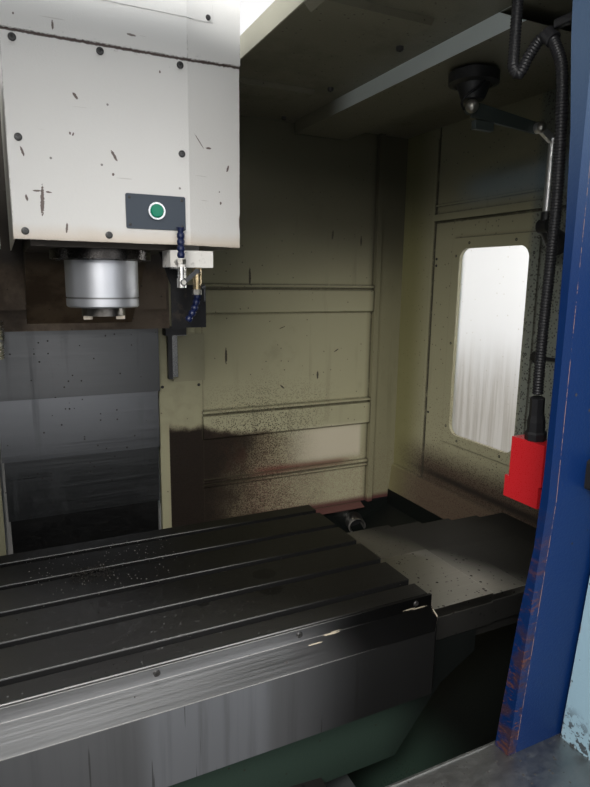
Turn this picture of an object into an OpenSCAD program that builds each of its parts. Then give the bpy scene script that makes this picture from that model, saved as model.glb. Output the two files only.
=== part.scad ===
// Vertical machining centre with an 850 mm class table.
// +X is to the operator's right, +Y goes into the machine and +Z is up.
// The datum is the point where the spindle axis meets the table top.

/* [Machine] */
// Overall width of the enclosure
machine_w = 2400; // [2360:10:2600]
// Overall depth, front face to cabinet handle
machine_d = 2400; // [2390:10:2600]
// Height of the table top above the floor
table_z = 900; // [880:5:960]
// Height of the enclosure above the table top
enclosure_h = 1150; // [1130:5:1300]
// Distance of the spindle axis in front of the footprint's centre
spindle_y = 300; // [200:10:400]
// Sheet thickness of the enclosure
sheet = 3; // [2:0.5:4]
// Thickness of a side wall, skin to skin
wall_t = 28; // [20:1:40]

/* [Travels] */
// Full stroke of the table along X
travel_x = 800; // [700:10:800]
// Full stroke of the saddle along Y
travel_y = 500; // [400:10:500]
// How far the head goes down from where it stands
head_down = 400; // [300:10:400]
// How far the head goes up from where it stands
head_up = 100; // [60:5:120]

/* [Table] */
// Length of the table
table_l = 1000; // [950:10:1020]
// Depth of the table
table_w = 500; // [490:5:520]
// Thickness of the table
table_h = 90; // [80:1:100]
// Distance of the table's centre line in front of the spindle axis
table_front = 256; // [250:1:262]
// Number of T-slots
slot_n = 5; // [3:1:5]
// Distance between T-slots
slot_pitch = 100; // [80:1:105]
// Width of a T-slot's mouth
slot_w = 18; // [14:1:22]
// Width of a T-slot's head
slot_head_w = 30; // [26:1:34]
// Height of a T-slot's head
slot_head_h = 12; // [10:1:14]
// Depth of a T-slot
slot_depth = 30; // [26:1:34]

/* [Guideways] */
// Width of a linear rail
rail_w = 45; // [35:1:50]
// Height of a linear rail
rail_h = 45; // [35:1:48]
// Width of a guide block
block_w = 90; // [80:1:100]
// Length of a guide block
block_l = 120; // [100:1:140]
// Height of a guide, rail seat to block top
guide_h = 62; // [60:1:70]
// Gap between a rail and its block
rail_gap = 0.4; // [0.3:0.1:0.8]
// Distance between the X rails
x_rail_span = 270; // [260:1:280]
// Distance between the Y rails
y_rail_span = 480; // [460:1:490]
// Distance between the Z rails
z_rail_span = 330; // [300:1:336]
// Diameter of a ball screw
screw_d = 40; // [32:1:45]

/* [Saddle and bed] */
// Length of the saddle along X
saddle_l = 1360; // [1340:5:1400]
// Depth of the saddle along Y
saddle_w = 400; // [380:5:410]
// Height of the saddle
saddle_h = 238; // [220:1:245]
// Width of the bed
bed_w = 800; // [760:5:840]
// Wall of the bed's castings
cast_wall = 35; // [25:1:45]
// Diameter of a levelling pad
pad_d = 90; // [70:1:120]
// Diameter of a levelling bolt
foot_bolt_d = 24; // [20:1:30]
// Height of the bed's underside above the floor
foot_h = 60; // [50:1:80]

/* [Column] */
// Distance from the spindle axis to the column's rail face
throat = 600; // [596:1:610]
// Width of the column above its foot
column_w = 660; // [620:5:680]
// Depth of the column
column_d = 580; // [520:5:620]
// Height of the column's top above the table top
column_top = 1450; // [1420:5:1500]

/* [Telescopic covers] */
// Thickness of a cover plate
plate_t = 2.5; // [2:0.5:3]
// Step from one cover plate to the next
plate_step = 4; // [4:0.5:5]
// Length of an X cover plate
x_plate_l = 222; // [218:1:226]
// Length of a Y cover plate
y_plate_l = 240; // [230:1:246]
// Length of a Z cover plate
z_plate_l = 230; // [226:1:240]
// Half width of the widest X cover plate
x_plate_half = 200; // [198:1:202]
// Half width of the widest Y cover plate
y_plate_half = 305; // [303:1:310]
// Half width of the widest Z cover plate
z_plate_half = 234; // [230:1:236]

/* [Head] */
// Height of the head slide's lower end above the table top
head_z = 438; // [436:1:446]
// Width of the head slide
slide_w = 500; // [490:5:520]
// Width of the head's nose
nose_w = 280; // [260:5:290]
// Height of the spindle nose above the table top
nose_z = 505; // [495:1:510]
// Diameter of the spindle's flange
flange_d = 203; // [190:1:220]
// Diameter of the spindle's cartridge
cartridge_d = 148; // [140:1:156]
// Diameter of the rotor's nose
rotor_d = 89; // [86:1:92]
// Gauge diameter of the spindle taper
taper_d = 44.45; // [40:0.05:50]
// Depth of the spindle taper
taper_l = 65; // [60:1:70]
// Left edge of the head's sheet cover
cover_left = 168; // [155:1:175]
// Right edge of the head's sheet cover
cover_right = 262; // [250:1:268]
// Distance of the sheet cover's face in front of the spindle axis
cover_front = 160; // [150:1:170]
// Height of the sheet cover's lower edge above the table top
cover_z = 649; // [645:1:655]
// Diameter of the push button
button_d = 25; // [22:1:28]
// Travel of a push button
button_travel = 4; // [3:0.5:5]

/* [Doors and windows] */
// Half width of the doorway
doorway_half = 545; // [541:1:560]
// Height of the doorway's top above the table top
doorway_top = 1080; // [1060:5:1090]
// Width of a door
door_w = 620; // [600:5:640]
// Where the right door's leading edge stands when open
door_open = 440; // [420:1:450]
// Depth of the sill's surface below the table top
sill_drop = 110; // [105:1:120]
// Width of the side window's clear view
window_w = 294; // [240:1:310]
// Height of the side window's clear view
window_h = 623; // [560:1:640]
// Depth of a window pane
pane_t = 6; // [5:0.5:8]

/* [Tool changer] */
// Number of tool pots
pot_n = 20; // [12:1:20]
// Radius of the circle of pots
pot_r = 260; // [256:1:270]
// Diameter of a tool pot
pot_d = 70; // [60:1:72]
// Distance from the arm's shaft to a gripper
arm_reach = 250; // [240:1:256]

/* [Hidden] */

eps = 0.05;
seat = 0.3;
fit = 0.05;
half_w = machine_w / 2;
front_d = machine_d / 2 - spindle_y;
back_d = machine_d / 2 + spindle_y;
inner_x = half_w - wall_t;

// Heights, all from the table top
floor_z = -table_z;
rail_seat_x = -table_h - guide_h;
saddle_low = rail_seat_x - saddle_h;
bed_top = saddle_low - guide_h;
bed_low = floor_z + foot_h;
block_lift = 8;
roof_z = enclosure_h - 55;

// Lengths along Y
wall_y = 560;
wall_back = 20;
bed_front = -front_d + 140;
column_back = throat + column_d;
bed_back = column_back + 20;
door_face = -front_d + 89;
door_back = -front_d + 143;
inner_front = -front_d + 147;
panel_gap = 5;
saddle_front = -table_front - saddle_w / 2;
saddle_rear = -table_front + saddle_w / 2;

// Puts a piece drawn round the datum in its place over the floor
module datum() translate([0, -spindle_y, table_z]) children();

// A box from its lowest corner to its highest
module block(a, b) translate(a) cube([b[0] - a[0], b[1] - a[1], b[2] - a[2]]);

// A rod along each axis, from a point and over a length
module rod_z(p, d, h) translate(p) cylinder(d = d, h = h, $fn = 48);
module rod_x(p, d, h) translate(p) rotate([0, 90, 0]) cylinder(d = d, h = h, $fn = 48);
module rod_y(p, d, h) translate(p) rotate([-90, 0, 0]) cylinder(d = d, h = h, $fn = 48);

// An outline in (Y, Z), drawn out along X from x0 to x1
module along_x(x0, x1) translate([x0, 0, 0]) rotate([90, 0, 90]) linear_extrude(x1 - x0) children();

// An outline in (X, Z), drawn out along Y from y0 to y1
module along_y(y0, y1) translate([0, y1, 0]) rotate([90, 0, 0]) linear_extrude(y1 - y0) children();

// A rectangle with round corners, from its lowest corner
module round_rect(w, h, r) {
  translate([r, 0]) square([w - 2 * r, h]);
  translate([0, r]) square([w, h - 2 * r]);
  for (x = [r, w - r]) for (y = [r, h - r]) translate([x, y]) circle(r, $fn = 40);
}

module both_sides() {
  children();
  mirror([1, 0, 0]) children();
}

// Linear guide: waisted rail outline on its seat, and the block that rides it
module rail_outline() {
  waist = rail_w * 0.12;
  half = rail_w / 2;
  polygon([
    [-half, 0], [half, 0], [half, rail_h * 0.35], [half - waist, rail_h * 0.5],
    [half - waist, rail_h * 0.65], [half, rail_h * 0.8], [half, rail_h],
    [-half, rail_h], [-half, rail_h * 0.8], [-half + waist, rail_h * 0.65],
    [-half + waist, rail_h * 0.5], [-half, rail_h * 0.35]
  ]);
}

module block_outline() {
  difference() {
    translate([-block_w / 2, block_lift]) square([block_w, guide_h - block_lift]);
    translate([-rail_w / 2 - rail_gap, 0]) square([rail_w + 2 * rail_gap, rail_h + rail_gap]);
  }
}

// Bed: ribbed casting that carries the Y guideways and the column
bed_screw_z = bed_top - 30;
drawer_half = 300;
drawer_top = -640;
drawer_back = -560;
trough_half = 62;
trough_deep = 90;
arch_half = y_plate_half + 5;
module base_casting() {
  pocket_top = bed_top - trough_deep - cast_wall;
  bay_n = 7;
  bay_l = (bed_back - drawer_back - cast_wall) / bay_n;
  bay_w = (bed_w - cast_wall) / 3;
  lug = 60;
  color("dimgray") datum() difference() {
    union() {
      block([-bed_w / 2, bed_front, bed_low], [bed_w / 2, bed_back, bed_top]);
      for (y = foot_rows)
        block([-bed_w / 2 - lug, y - lug, bed_low], [bed_w / 2 + lug, y + lug, bed_low + lug]);
    }
    for (i = [0:bay_n - 1]) for (j = [0:2]) {
      x0 = -bed_w / 2 + cast_wall + j * bay_w;
      y0 = drawer_back + cast_wall + i * bay_l;
      block([x0, y0, bed_low - 1], [x0 + bay_w - cast_wall, y0 + bay_l - cast_wall, pocket_top]);
    }
    block([-trough_half, bed_front + 90, bed_top - trough_deep], [trough_half, throat - 30, bed_top + 1]);
    rod_y([0, bed_front - 1, bed_screw_z], screw_d + 2 * fit, column_back - bed_front);
    for (y = foot_rows) for (s = [-1, 1])
      rod_z([s * foot_x, y, bed_low - 1], foot_bolt_d + 2 * fit, lug + 2);
    block([-bed_w, bed_front - 1, bed_low - 1], [bed_w, drawer_back, drawer_top + 10]);
  }
}

// Levelling screws on round pads, with a lock nut over each lug
foot_x = bed_w / 2 + 25;
foot_rows = [drawer_back + 90, -60, throat, bed_back - 110];
module levelling_feet() {
  pad_h = 25;
  lug = 60;
  color("darkslategray") datum() for (y = foot_rows) for (s = [-1, 1]) translate([s * foot_x, y, floor_z]) {
    cylinder(d = pad_d, h = pad_h, $fn = 48);
    translate([0, 0, pad_h]) cylinder(d1 = pad_d * 0.6, d2 = foot_bolt_d, h = 12, $fn = 48);
    cylinder(d = foot_bolt_d, h = foot_h + lug + 40, $fn = 48);
    translate([0, 0, foot_h + lug + seat]) cylinder(d = foot_bolt_d * 1.6, h = 18, $fn = 6);
  }
}

// Column: tapered foot with an arch for the rear covers, and a groove for the Z screw
z_screw_y = throat - 35;
module column() {
  foot_half = bed_w / 2 - 5;
  flare_top = -60;
  arch_top = bed_top + 140;
  arch_deep = 180;
  groove_half = 62;
  core_half = column_w / 2 - cast_wall;
  bracket_top = z_screw_low + 120;
  color("gainsboro") datum() difference() {
    along_y(throat, column_back) polygon([
      [-foot_half, bed_top], [foot_half, bed_top], [column_w / 2, flare_top],
      [column_w / 2, column_top], [-column_w / 2, column_top], [-column_w / 2, flare_top]
    ]);
    block([-arch_half, throat - 1, bed_top - 1], [arch_half, throat + arch_deep, arch_top]);
    block([-groove_half, throat - 1, head_z - head_down], [groove_half, throat + 60, column_top - 40]);
    block([-core_half, throat + 60 + cast_wall, arch_top + cast_wall],
          [core_half, column_back - cast_wall, column_top - cast_wall]);
    for (z = [200, 620, 1040])
      translate([0, column_back + 1, z]) rotate([90, 0, 0])
        linear_extrude(cast_wall + 2) translate([-140, 0]) round_rect(280, 240, 40);
  }
  color("gainsboro") datum() difference() {
    block([-50, z_screw_y - 23, z_screw_low], [50, throat + 65, bracket_top]);
    rod_z([0, z_screw_y, z_screw_low + 20], screw_d + 2 * fit, 200);
  }
}

// Bed and column rails
z_rail_low = -250;
module machine_rails() {
  color("silver") datum() {
    for (s = [-1, 1]) translate([s * y_rail_span / 2, 0, bed_top])
      along_y(bed_front + 40, throat - 10) rail_outline();
    for (s = [-1, 1]) translate([s * z_rail_span / 2, throat, z_rail_low])
      rotate([0, 0, 180]) linear_extrude(column_top - 60 - z_rail_low) rail_outline();
  }
}

// Servo motors of the Y and Z screws, each on its flange
motor_w = 140;
module servo(l) {
  linear_extrude(24) translate([-motor_w / 2, -motor_w / 2]) round_rect(motor_w, motor_w, 12);
  translate([0, 0, 24]) cylinder(d = motor_w - 14, h = l - 84, $fn = 48);
  translate([0, 0, l - 60]) linear_extrude(60)
    translate([-motor_w / 2 + 8, -motor_w / 2 + 8]) round_rect(motor_w - 16, motor_w - 16, 10);
}

module axis_motors() {
  bracket = 90;
  color("black") datum() {
    translate([0, z_screw_y, column_top + 50]) servo(220);
    difference() {
      block([-bracket, z_screw_y - bracket, column_top], [bracket, z_screw_y + bracket, column_top + 50]);
      rod_z([0, z_screw_y, column_top - 1], screw_d + 2 * fit, 50);
    }
    translate([0, bed_front, bed_screw_z]) rotate([90, 0, 0]) servo(120);
  }
}

// Ball screws with a shallow round thread groove left to the finish
x_screw_z = rail_seat_x - 12;
x_screw_half = saddle_l / 2 - 5;
module x_screw() color("silver") datum()
  rod_x([-x_screw_half, -table_front, x_screw_z], screw_d * 0.8, 2 * x_screw_half);

module y_screw() color("silver") datum()
  rod_y([0, bed_front + 20, bed_screw_z], screw_d, throat - bed_front - 20);

z_screw_low = head_z - head_down + 60;
module z_screw() color("silver") datum()
  rod_z([0, z_screw_y, z_screw_low + 20 + seat], screw_d, column_top + 48 - z_screw_low - 20);

// Saddle: crossed casting with chamfered ends, Y blocks below and X seats on top
saddle_trough = 50;
module saddle() {
  end_half = saddle_l / 2;
  nut_half = 45;
  bearing = 80;
  color("slategray") datum() {
    difference() {
      union() {
        along_y(saddle_front, saddle_rear) polygon([
          [-end_half, rail_seat_x], [-end_half, rail_seat_x - 50], [-end_half + 90, rail_seat_x - 102],
          [-end_half + 200, saddle_low], [end_half - 200, saddle_low],
          [end_half - 90, rail_seat_x - 102], [end_half, rail_seat_x - 50], [end_half, rail_seat_x]
        ]);
        for (s = [-1, 1]) for (y = [saddle_front + block_l / 2 + 10, saddle_rear - block_l / 2 - 10])
          translate([s * y_rail_span / 2, 0, bed_top])
            along_y(y - block_l / 2, y + block_l / 2) block_outline();
        block([-nut_half, -table_front - 60, bed_screw_z - 40], [nut_half, -table_front + 60, saddle_low + 1]);
      }
      block([-end_half + bearing, -table_front - saddle_trough, rail_seat_x - 50],
            [end_half - bearing, -table_front + saddle_trough, rail_seat_x + 1]);
      rod_x([-end_half - 1, -table_front, x_screw_z], screw_d * 0.8 + 2 * fit, saddle_l + 2);
      rod_y([0, saddle_front, bed_screw_z], screw_d + 2 * fit, saddle_w);
    }
    translate([-end_half, -table_front, x_screw_z]) rotate([0, -90, 0]) linear_extrude(190)
      translate([-40, -40]) round_rect(80, 80, 10);
  }
}

module x_rails() color("silver") datum()
  for (s = [-1, 1]) translate([0, -table_front + s * x_rail_span / 2, rail_seat_x])
    along_x(-saddle_l / 2 + 4, saddle_l / 2 - 4) rail_outline();

// Table with T-slots, its four X blocks and the nut bracket under it
module table() {
  nut_half = 42;
  color("dimgray") datum() translate([0, -table_front, 0]) difference() {
    union() {
      block([-table_l / 2, -table_w / 2, -table_h], [table_l / 2, table_w / 2, 0]);
      for (sx = [-1, 1]) for (sy = [-1, 1])
        translate([0, sy * x_rail_span / 2, rail_seat_x])
          along_x(sx * 212 - block_l / 2, sx * 212 + block_l / 2) block_outline();
      block([-60, -nut_half, x_screw_z - 34], [60, nut_half, -table_h + 1]);
    }
    for (i = [0:slot_n - 1]) {
      y = (i - (slot_n - 1) / 2) * slot_pitch;
      block([-table_l, y - slot_w / 2, -slot_depth], [table_l, y + slot_w / 2, 1]);
      block([-table_l, y - slot_head_w / 2, -slot_depth],
            [table_l, y + slot_head_w / 2, -slot_depth + slot_head_h]);
    }
    rod_x([-100, 0, x_screw_z], screw_d * 0.8 + 2 * fit, 200);
  }
}

// Splash apron: one folded stainless sheet screwed along the table's front edge
table_edge = -table_front - table_w / 2;
module table_apron() {
  fold_y = table_edge - 50;
  low = -176;
  t = plate_t;
  half = table_l / 2 + 6;
  corner = 24;
  color("lightgray") datum() {
    difference() {
      intersection() {
        along_x(-half, half) polygon([
          [table_edge, -1], [table_edge - 6, -1], [table_edge - 6, -24],
          [fold_y, -46], [fold_y, low], [table_edge, low]
        ]);
        translate([0, 0, low]) linear_extrude(-low) polygon([
          [-half, table_edge], [-half, fold_y + corner], [-half + corner, fold_y],
          [half - corner, fold_y], [half, fold_y + corner], [half, table_edge]
        ]);
      }
      intersection() {
        along_x(-half + t, half - t) polygon([
          [table_edge + 1, -24 - t], [table_edge - 6, -25 - t], [fold_y + t, -45 - t],
          [fold_y + t, low - 1], [table_edge + 1, low - 1]
        ]);
        translate([0, 0, low - 1]) linear_extrude(-low) polygon([
          [-half + t, table_edge + 1], [-half + t, fold_y + corner + 1], [-half + corner + 1, fold_y + t],
          [half - corner - 1, fold_y + t], [half - t, fold_y + corner + 1], [half - t, table_edge + 1]
        ]);
      }
    }
    block([-half + corner + 2, fold_y + t - 0.5, low], [half - corner - 2, fold_y + 22, low + t]);
  }
}

// Cover plate across the X guideways: a flat roof with two turned-down skirts
x_plate_gap = inner_x - 42 - table_l / 2;
x_step = (x_plate_gap - x_plate_l) / 4;
x_plate_z = -76;
skirt_low_x = rail_seat_x + 3;
module x_plate(k) {
  z = x_plate_z - (k - 1) * (plate_step + 2);
  half = x_plate_half - (k - 1) * plate_step;
  x0 = table_l / 2 + (k - 1) * x_step;
  wiper = half - plate_step - 2;
  if (k < 5) both_sides() translate([x0 + x_plate_l - 8, -table_front - wiper, z - plate_step - 2 + seat])
    cube([8, 2 * wiper, plate_step + 2 - plate_t]);
  both_sides() translate([0, -table_front, 0]) along_x(x0, x0 + x_plate_l) polygon([
    [-half, skirt_low_x], [-half, z], [half, z], [half, skirt_low_x],
    [half - plate_t, skirt_low_x], [half - plate_t, z - plate_t],
    [-half + plate_t, z - plate_t], [-half + plate_t, skirt_low_x]
  ]);
}

module x_cover_1() color("lightgray") datum() x_plate(1);
module x_cover_2() color("lightgray") datum() x_plate(2);
module x_cover_3() color("lightgray") datum() x_plate(3);
module x_cover_4() color("lightgray") datum() x_plate(4);

// Cover plate across the Y guideways: a ridged roof, in front of and behind the saddle
y_gap = 256;
y_step = (y_gap + travel_y - y_plate_l) / 3;
y_step_front = (y_gap - y_plate_l) / 3;
y_plate_ridge = bed_top + 107;
y_plate_eaves = bed_top + 78;
module y_plate_outline(k) {
  z = -(k - 1) * (plate_step + 1);
  half = y_plate_half - (k - 1) * plate_step;
  ridge = y_plate_ridge + z;
  eaves = y_plate_eaves + z;
  skirt = bed_top + 3;
  polygon([
    [-half, skirt], [-half, eaves], [0, ridge], [half, eaves], [half, skirt],
    [half - plate_t, skirt], [half - plate_t, eaves - plate_t], [0, ridge - plate_t],
    [-half + plate_t, eaves - plate_t], [-half + plate_t, skirt]
  ]);
}

module y_plate(k) {
  y_rear = saddle_rear + (k - 1) * y_step;
  y_front = saddle_front - (k - 1) * y_step_front;
  along_y(y_rear, y_rear + y_plate_l) y_plate_outline(k);
  along_y(y_front - y_plate_l, y_front) y_plate_outline(k);
  if (k < 4) for (y = [y_rear + y_plate_l - 8, y_front - y_plate_l]) along_y(y, y + 8) {
    half = y_plate_half - k * plate_step - 2;
    drop = k * (plate_step + 1) - seat;
    top = (k - 1) * (plate_step + 1) + 1.5;
    polygon([
      [-half, y_plate_eaves - drop], [0, y_plate_ridge - drop], [half, y_plate_eaves - drop],
      [half, y_plate_eaves - top], [0, y_plate_ridge - top], [-half, y_plate_eaves - top]
    ]);
  }
}

module y_cover_2() color("lightgray") datum() y_plate(2);
module y_cover_3() color("lightgray") datum() y_plate(3);

// Cover plate over the Z guideways: a flat face with two flanges towards the column
z_bottom_first = 234;
z_bottom_last = -315;
z_step = (z_bottom_first - z_bottom_last) / 3;
z_plate_y = throat - 80;
module z_plate(k, low, high) {
  half = z_plate_half - (k - 1) * (plate_step + 1);
  y = z_plate_y + (k - 1) * plate_step;
  translate([0, 0, low]) linear_extrude(high - low) polygon([
    [-half, throat - 4], [-half, y], [half, y], [half, throat - 4],
    [half - plate_t, throat - 4], [half - plate_t, y + plate_t],
    [-half + plate_t, y + plate_t], [-half + plate_t, throat - 4]
  ]);
  wiper = half - plate_step - 3;
  if (k < 4) block([-wiper, y + 1, low], [wiper, y + plate_step - seat, low + 8]);
}

function z_low(k) = z_bottom_first - (k - 1) * z_step;
module z_cover_1() color("lightgray") datum() z_plate(1, z_low(1), head_z);
module z_cover_2() color("lightgray") datum() z_plate(2, z_low(2), z_low(2) + z_plate_l);
module z_cover_3() color("lightgray") datum() z_plate(3, z_low(3), z_low(3) + z_plate_l);

// Innermost plates, fixed to the bed and the column
module fixed_cover_plates() {
  foot = 40;
  y_end = saddle_rear + 3 * y_step + y_plate_l;
  y_start = saddle_front - 3 * y_step_front - y_plate_l;
  color("lightgray") datum() {
    y_plate(4);
    for (y = [y_start, y_end - plate_t]) along_y(y, y + plate_t) difference() {
      shield_half = y_plate_half - 3 * plate_step;
      polygon([
        [-shield_half, bed_top], [-shield_half, y_plate_eaves - 15], [0, y_plate_ridge - 15],
        [shield_half, y_plate_eaves - 15], [shield_half, bed_top]
      ]);
      for (s = [-1, 1]) translate([s * y_rail_span / 2 - rail_w / 2 - 1, bed_top - 1])
        square([rail_w + 2, rail_h + 2]);
    }
    z_plate(4, z_bottom_last, z_bottom_last + z_plate_l);
    for (s = [-1, 1]) translate([s * (z_plate_half - 3 * (plate_step + 1) - foot / 2), throat - 4, z_bottom_last])
      translate([-foot / 2, 0, 0]) cube([foot, 4, foot]);
  }
}

// Outermost plates on the saddle: the X ends on their carriers, the Y ends on its faces
module saddle_cover_plates() {
  carrier = 30;
  x_end = table_l / 2 + 4 * x_step + x_plate_l;
  rest = 170;
  color("lightgray") datum() {
    x_plate(5);
    both_sides() {
      for (s = [-1, 1]) translate([0, -table_front + s * rest, 0])
        along_x(saddle_l / 2, x_end) polygon([
          [-carrier / 2, skirt_low_x], [carrier / 2, skirt_low_x], [carrier / 2, skirt_low_x - 4],
          [-carrier / 2 + 4, skirt_low_x - 4], [-carrier / 2 + 4, skirt_low_x - carrier],
          [-carrier / 2, skirt_low_x - carrier]
        ]);
      block([x_end - 4, -table_front - x_plate_half + 4 * plate_step, skirt_low_x - 4],
            [x_end, -table_front + x_plate_half - 4 * plate_step, x_plate_z - 26]);
    }
    y_plate(1);
  }
}

// Head casting: slide with guide blocks, a webbed arm and the nose that holds the cartridge
nose_low = nose_z + 135;
nose_front = -125;
motor_seat = 1000;
module head_casting() {
  slide_front = 440;
  slide_back = throat - guide_h;
  bore = cartridge_d - 20;
  color("lightgray") datum() difference() {
    union() {
      along_x(-nose_w / 2, nose_w / 2) polygon([
        [nose_front, nose_low], [200, nose_low], [slide_front, head_z + 20],
        [slide_front, motor_seat + 40], [140, motor_seat + 40], [130, motor_seat], [nose_front, motor_seat]
      ]);
      along_x(-slide_w / 2, slide_w / 2) polygon([
        [slide_front, head_z], [z_plate_y, head_z], [slide_back, head_z + 20],
        [slide_back, motor_seat + 60], [slide_front, motor_seat + 60]
      ]);
      both_sides() along_y(slide_front - 50, slide_front) polygon([
        [nose_w / 2, head_z + 60], [slide_w / 2 - 20, head_z + 60],
        [slide_w / 2 - 20, motor_seat], [nose_w / 2, motor_seat]
      ]);
      for (s = [-1, 1]) for (z = [head_z + 90, motor_seat - 90])
        translate([s * z_rail_span / 2, throat, z - block_l / 2])
          rotate([0, 0, 180]) linear_extrude(block_l) block_outline();
      block([-50, slide_back - 1, 680], [50, throat - 6, 800]);
    }
    rod_z([0, 0, nose_low - 1], bore, 200);
    rod_z([0, 0, nose_low + 198], bore * 0.7, 400);
    rod_z([0, z_screw_y, 600], screw_d + 2 * fit, 300);
  }
}

// Sheet cover of the head: front panel, angled side section and two side walls
seam_x = 148;
cover_top = 1150;
module head_cover() {
  back = 380;
  t = sheet - 0.5;
  bend = 30;
  top_frame = 40;
  outline = [
    [-cover_left, back], [-cover_left, -cover_front], [seam_x, -cover_front],
    [cover_right, -cover_front + bend], [cover_right, back]
  ];
  color("whitesmoke") datum() {
    translate([0, 0, cover_z]) linear_extrude(cover_top - cover_z) difference() {
      polygon(outline);
      polygon([
        [-cover_left + t, back + 1], [-cover_left + t, -cover_front + t], [seam_x - 1, -cover_front + t],
        [cover_right - t, -cover_front + bend + t], [cover_right - t, back + 1]
      ]);
    }
    translate([0, 0, cover_top - t]) linear_extrude(t) difference() {
      polygon(outline);
      translate([-cover_left + top_frame, -cover_front + top_frame]) square([cover_left + seam_x - 60, back]);
    }
    for (z = [nose_low + 40, motor_seat - 60]) for (s = [-1, 1])
      block([s > 0 ? nose_w / 2 : -cover_left + t, 60, z],
            [s > 0 ? cover_right - t : -nose_w / 2, 100, z + 30]);
    for (z = [nose_low + 40, motor_seat - 60])
      block([-40, -cover_front + t, z], [40, nose_front, z + 30]);
  }
}

// Spindle motor with its cooling fins and fan cowl
module spindle_motor() {
  w = 230;
  fin = 10;
  fin_n = 9;
  color("black") datum() translate([0, 0, motor_seat]) difference() {
    union() {
      linear_extrude(30) translate([-w / 2, -w / 2]) round_rect(w, w, 20);
      translate([0, 0, 30]) linear_extrude(300) translate([-w / 2 + 12, -w / 2 + 12]) round_rect(w - 24, w - 24, 30);
      translate([0, 0, 330]) cylinder(d = w - 20, h = 80, $fn = 64);
    }
    rod_z([0, 0, -1], 50 + 2 * fit, 40);
    for (i = [0:fin_n - 1]) for (s = [-1, 1]) {
      x = s > 0 ? w / 2 - 24 : -w / 2;
      y = -w / 2 + 30 + i * 20;
      block([x, y, 50], [x + 24, y + fin, 310]);
    }
  }
}

// Cartridge: bolted flange, satin sleeve with a groove, and the bore for the rotor
module spindle_housing() {
  sleeve_low = nose_z + 18;
  groove_z = nose_z + 39;
  shaft_d = 80;
  flange_h = 19;
  color("silver") datum() difference() {
    union() {
      rod_z([0, 0, nose_low - flange_h], flange_d, flange_h);
      translate([0, 0, sleeve_low]) rotate_extrude($fn = 72) polygon([
        [0, 0], [cartridge_d / 2 - 3, 0], [cartridge_d / 2, 3], [cartridge_d / 2, groove_z - sleeve_low - 3],
        [cartridge_d / 2 - 2, groove_z - sleeve_low - 3], [cartridge_d / 2 - 2, groove_z - sleeve_low],
        [cartridge_d / 2, groove_z - sleeve_low], [cartridge_d / 2, nose_low - flange_h - sleeve_low],
        [0, nose_low - flange_h - sleeve_low]
      ]);
      rod_z([0, 0, nose_low - 1], cartridge_d - 20 - 2 * fit, 180);
    }
    rod_z([0, 0, sleeve_low - 1], shaft_d + 2 * fit, 400);
  }
}

// Rotor: nose with a 7:24 taper, two drive keys and the shaft up into the cartridge
module spindle_rotor() {
  shaft_d = 80;
  sleeve_low = nose_z + 18;
  key_w = 16;
  small = taper_d - taper_l * 7 / 24;
  color("silver") datum() difference() {
    union() {
      rod_z([0, 0, nose_z], rotor_d, sleeve_low - nose_z - seat);
      rod_z([0, 0, nose_z + 1], shaft_d, 310);
      rod_z([0, 0, nose_z + 310], 50, motor_seat + 30 - nose_z - 310);
      for (s = [-1, 1]) block([s > 0 ? taper_d / 2 + 2 : -rotor_d / 2 + 2, -key_w / 2, nose_z - 8],
                              [s > 0 ? rotor_d / 2 - 2 : -taper_d / 2 - 2, key_w / 2, nose_z + 1]);
    }
    translate([0, 0, nose_z - eps]) cylinder(d1 = taper_d, d2 = small, h = taper_l, $fn = 64);
    rod_z([0, 0, nose_z + taper_l - 1], 17, 300);
  }
}

// Coolant manifold under the cover, with its two ball valves and the bent supply pipe
block_low = cover_z - 42;
valve_1 = [125, -172, block_low - 22];
valve_2 = [177, -100, block_low - 32];
module coolant_fittings() {
  x0 = 112;
  x1 = 200;
  guard_x = 214;
  guard_low = nose_z - 27;
  guard_top = nose_z + 66;
  y0 = -140;
  color("whitesmoke") datum() {
    block([x0, y0, block_low], [x1, y0 + 66, nose_low]);
    block([nose_w / 2, y0 + 30, nose_low], [x1 - 20, y0 + 66, nose_low + 40]);
    rod_z([valve_1[0], valve_1[1], valve_1[2]], 14, 38);
    rod_y([valve_1[0], valve_1[1], block_low + 10], 12, y0 - valve_1[1] + 1);
    rod_z([valve_1[0], valve_1[1], valve_1[2] - 18], 18, 18);
    rod_z([valve_2[0], valve_2[1], valve_2[2]], 20, block_low - valve_2[2]);
    rod_z([valve_2[0], valve_2[1], valve_2[2] - 20], 17, 20);
    translate([x0 + 12, y0 + 20, block_low - 20]) rotate([90, 0, 0])
      rotate_extrude(angle = 90, $fn = 48) translate([20, 0]) circle(d = 9, $fn = 24);
    rod_z([x0 + 32, y0 + 20, block_low - 21], 9, 22);
    translate([x0 + 4, y0 + 20, block_low]) rod_x([0, 0, 0], 9, 9);
    along_y(-42, -39) polygon([
      [x0 + 24, guard_low], [guard_x, guard_low], [guard_x, guard_top], [x0 + 48, guard_top],
      [nose_w / 2, nose_low], [x0, nose_low], [x0 + 24, guard_top]
    ]);
  }
}

// Ball-valve levers: a flat handle on a short spindle
module valve_lever(l) {
  cylinder(d = 9, h = 5, $fn = 32);
  translate([0, 0, 5]) linear_extrude(3) {
    circle(d = 12, $fn = 32);
    translate([-4, 0]) square([8, l]);
    translate([0, l]) circle(d = 10, $fn = 32);
  }
}

module upper_valve_lever() color("dimgray") datum()
  translate([valve_1[0], valve_1[1] - 9 - seat, valve_1[2] - 8]) rotate([90, 0, 0]) rotate([0, 0, -50]) valve_lever(34);

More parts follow.
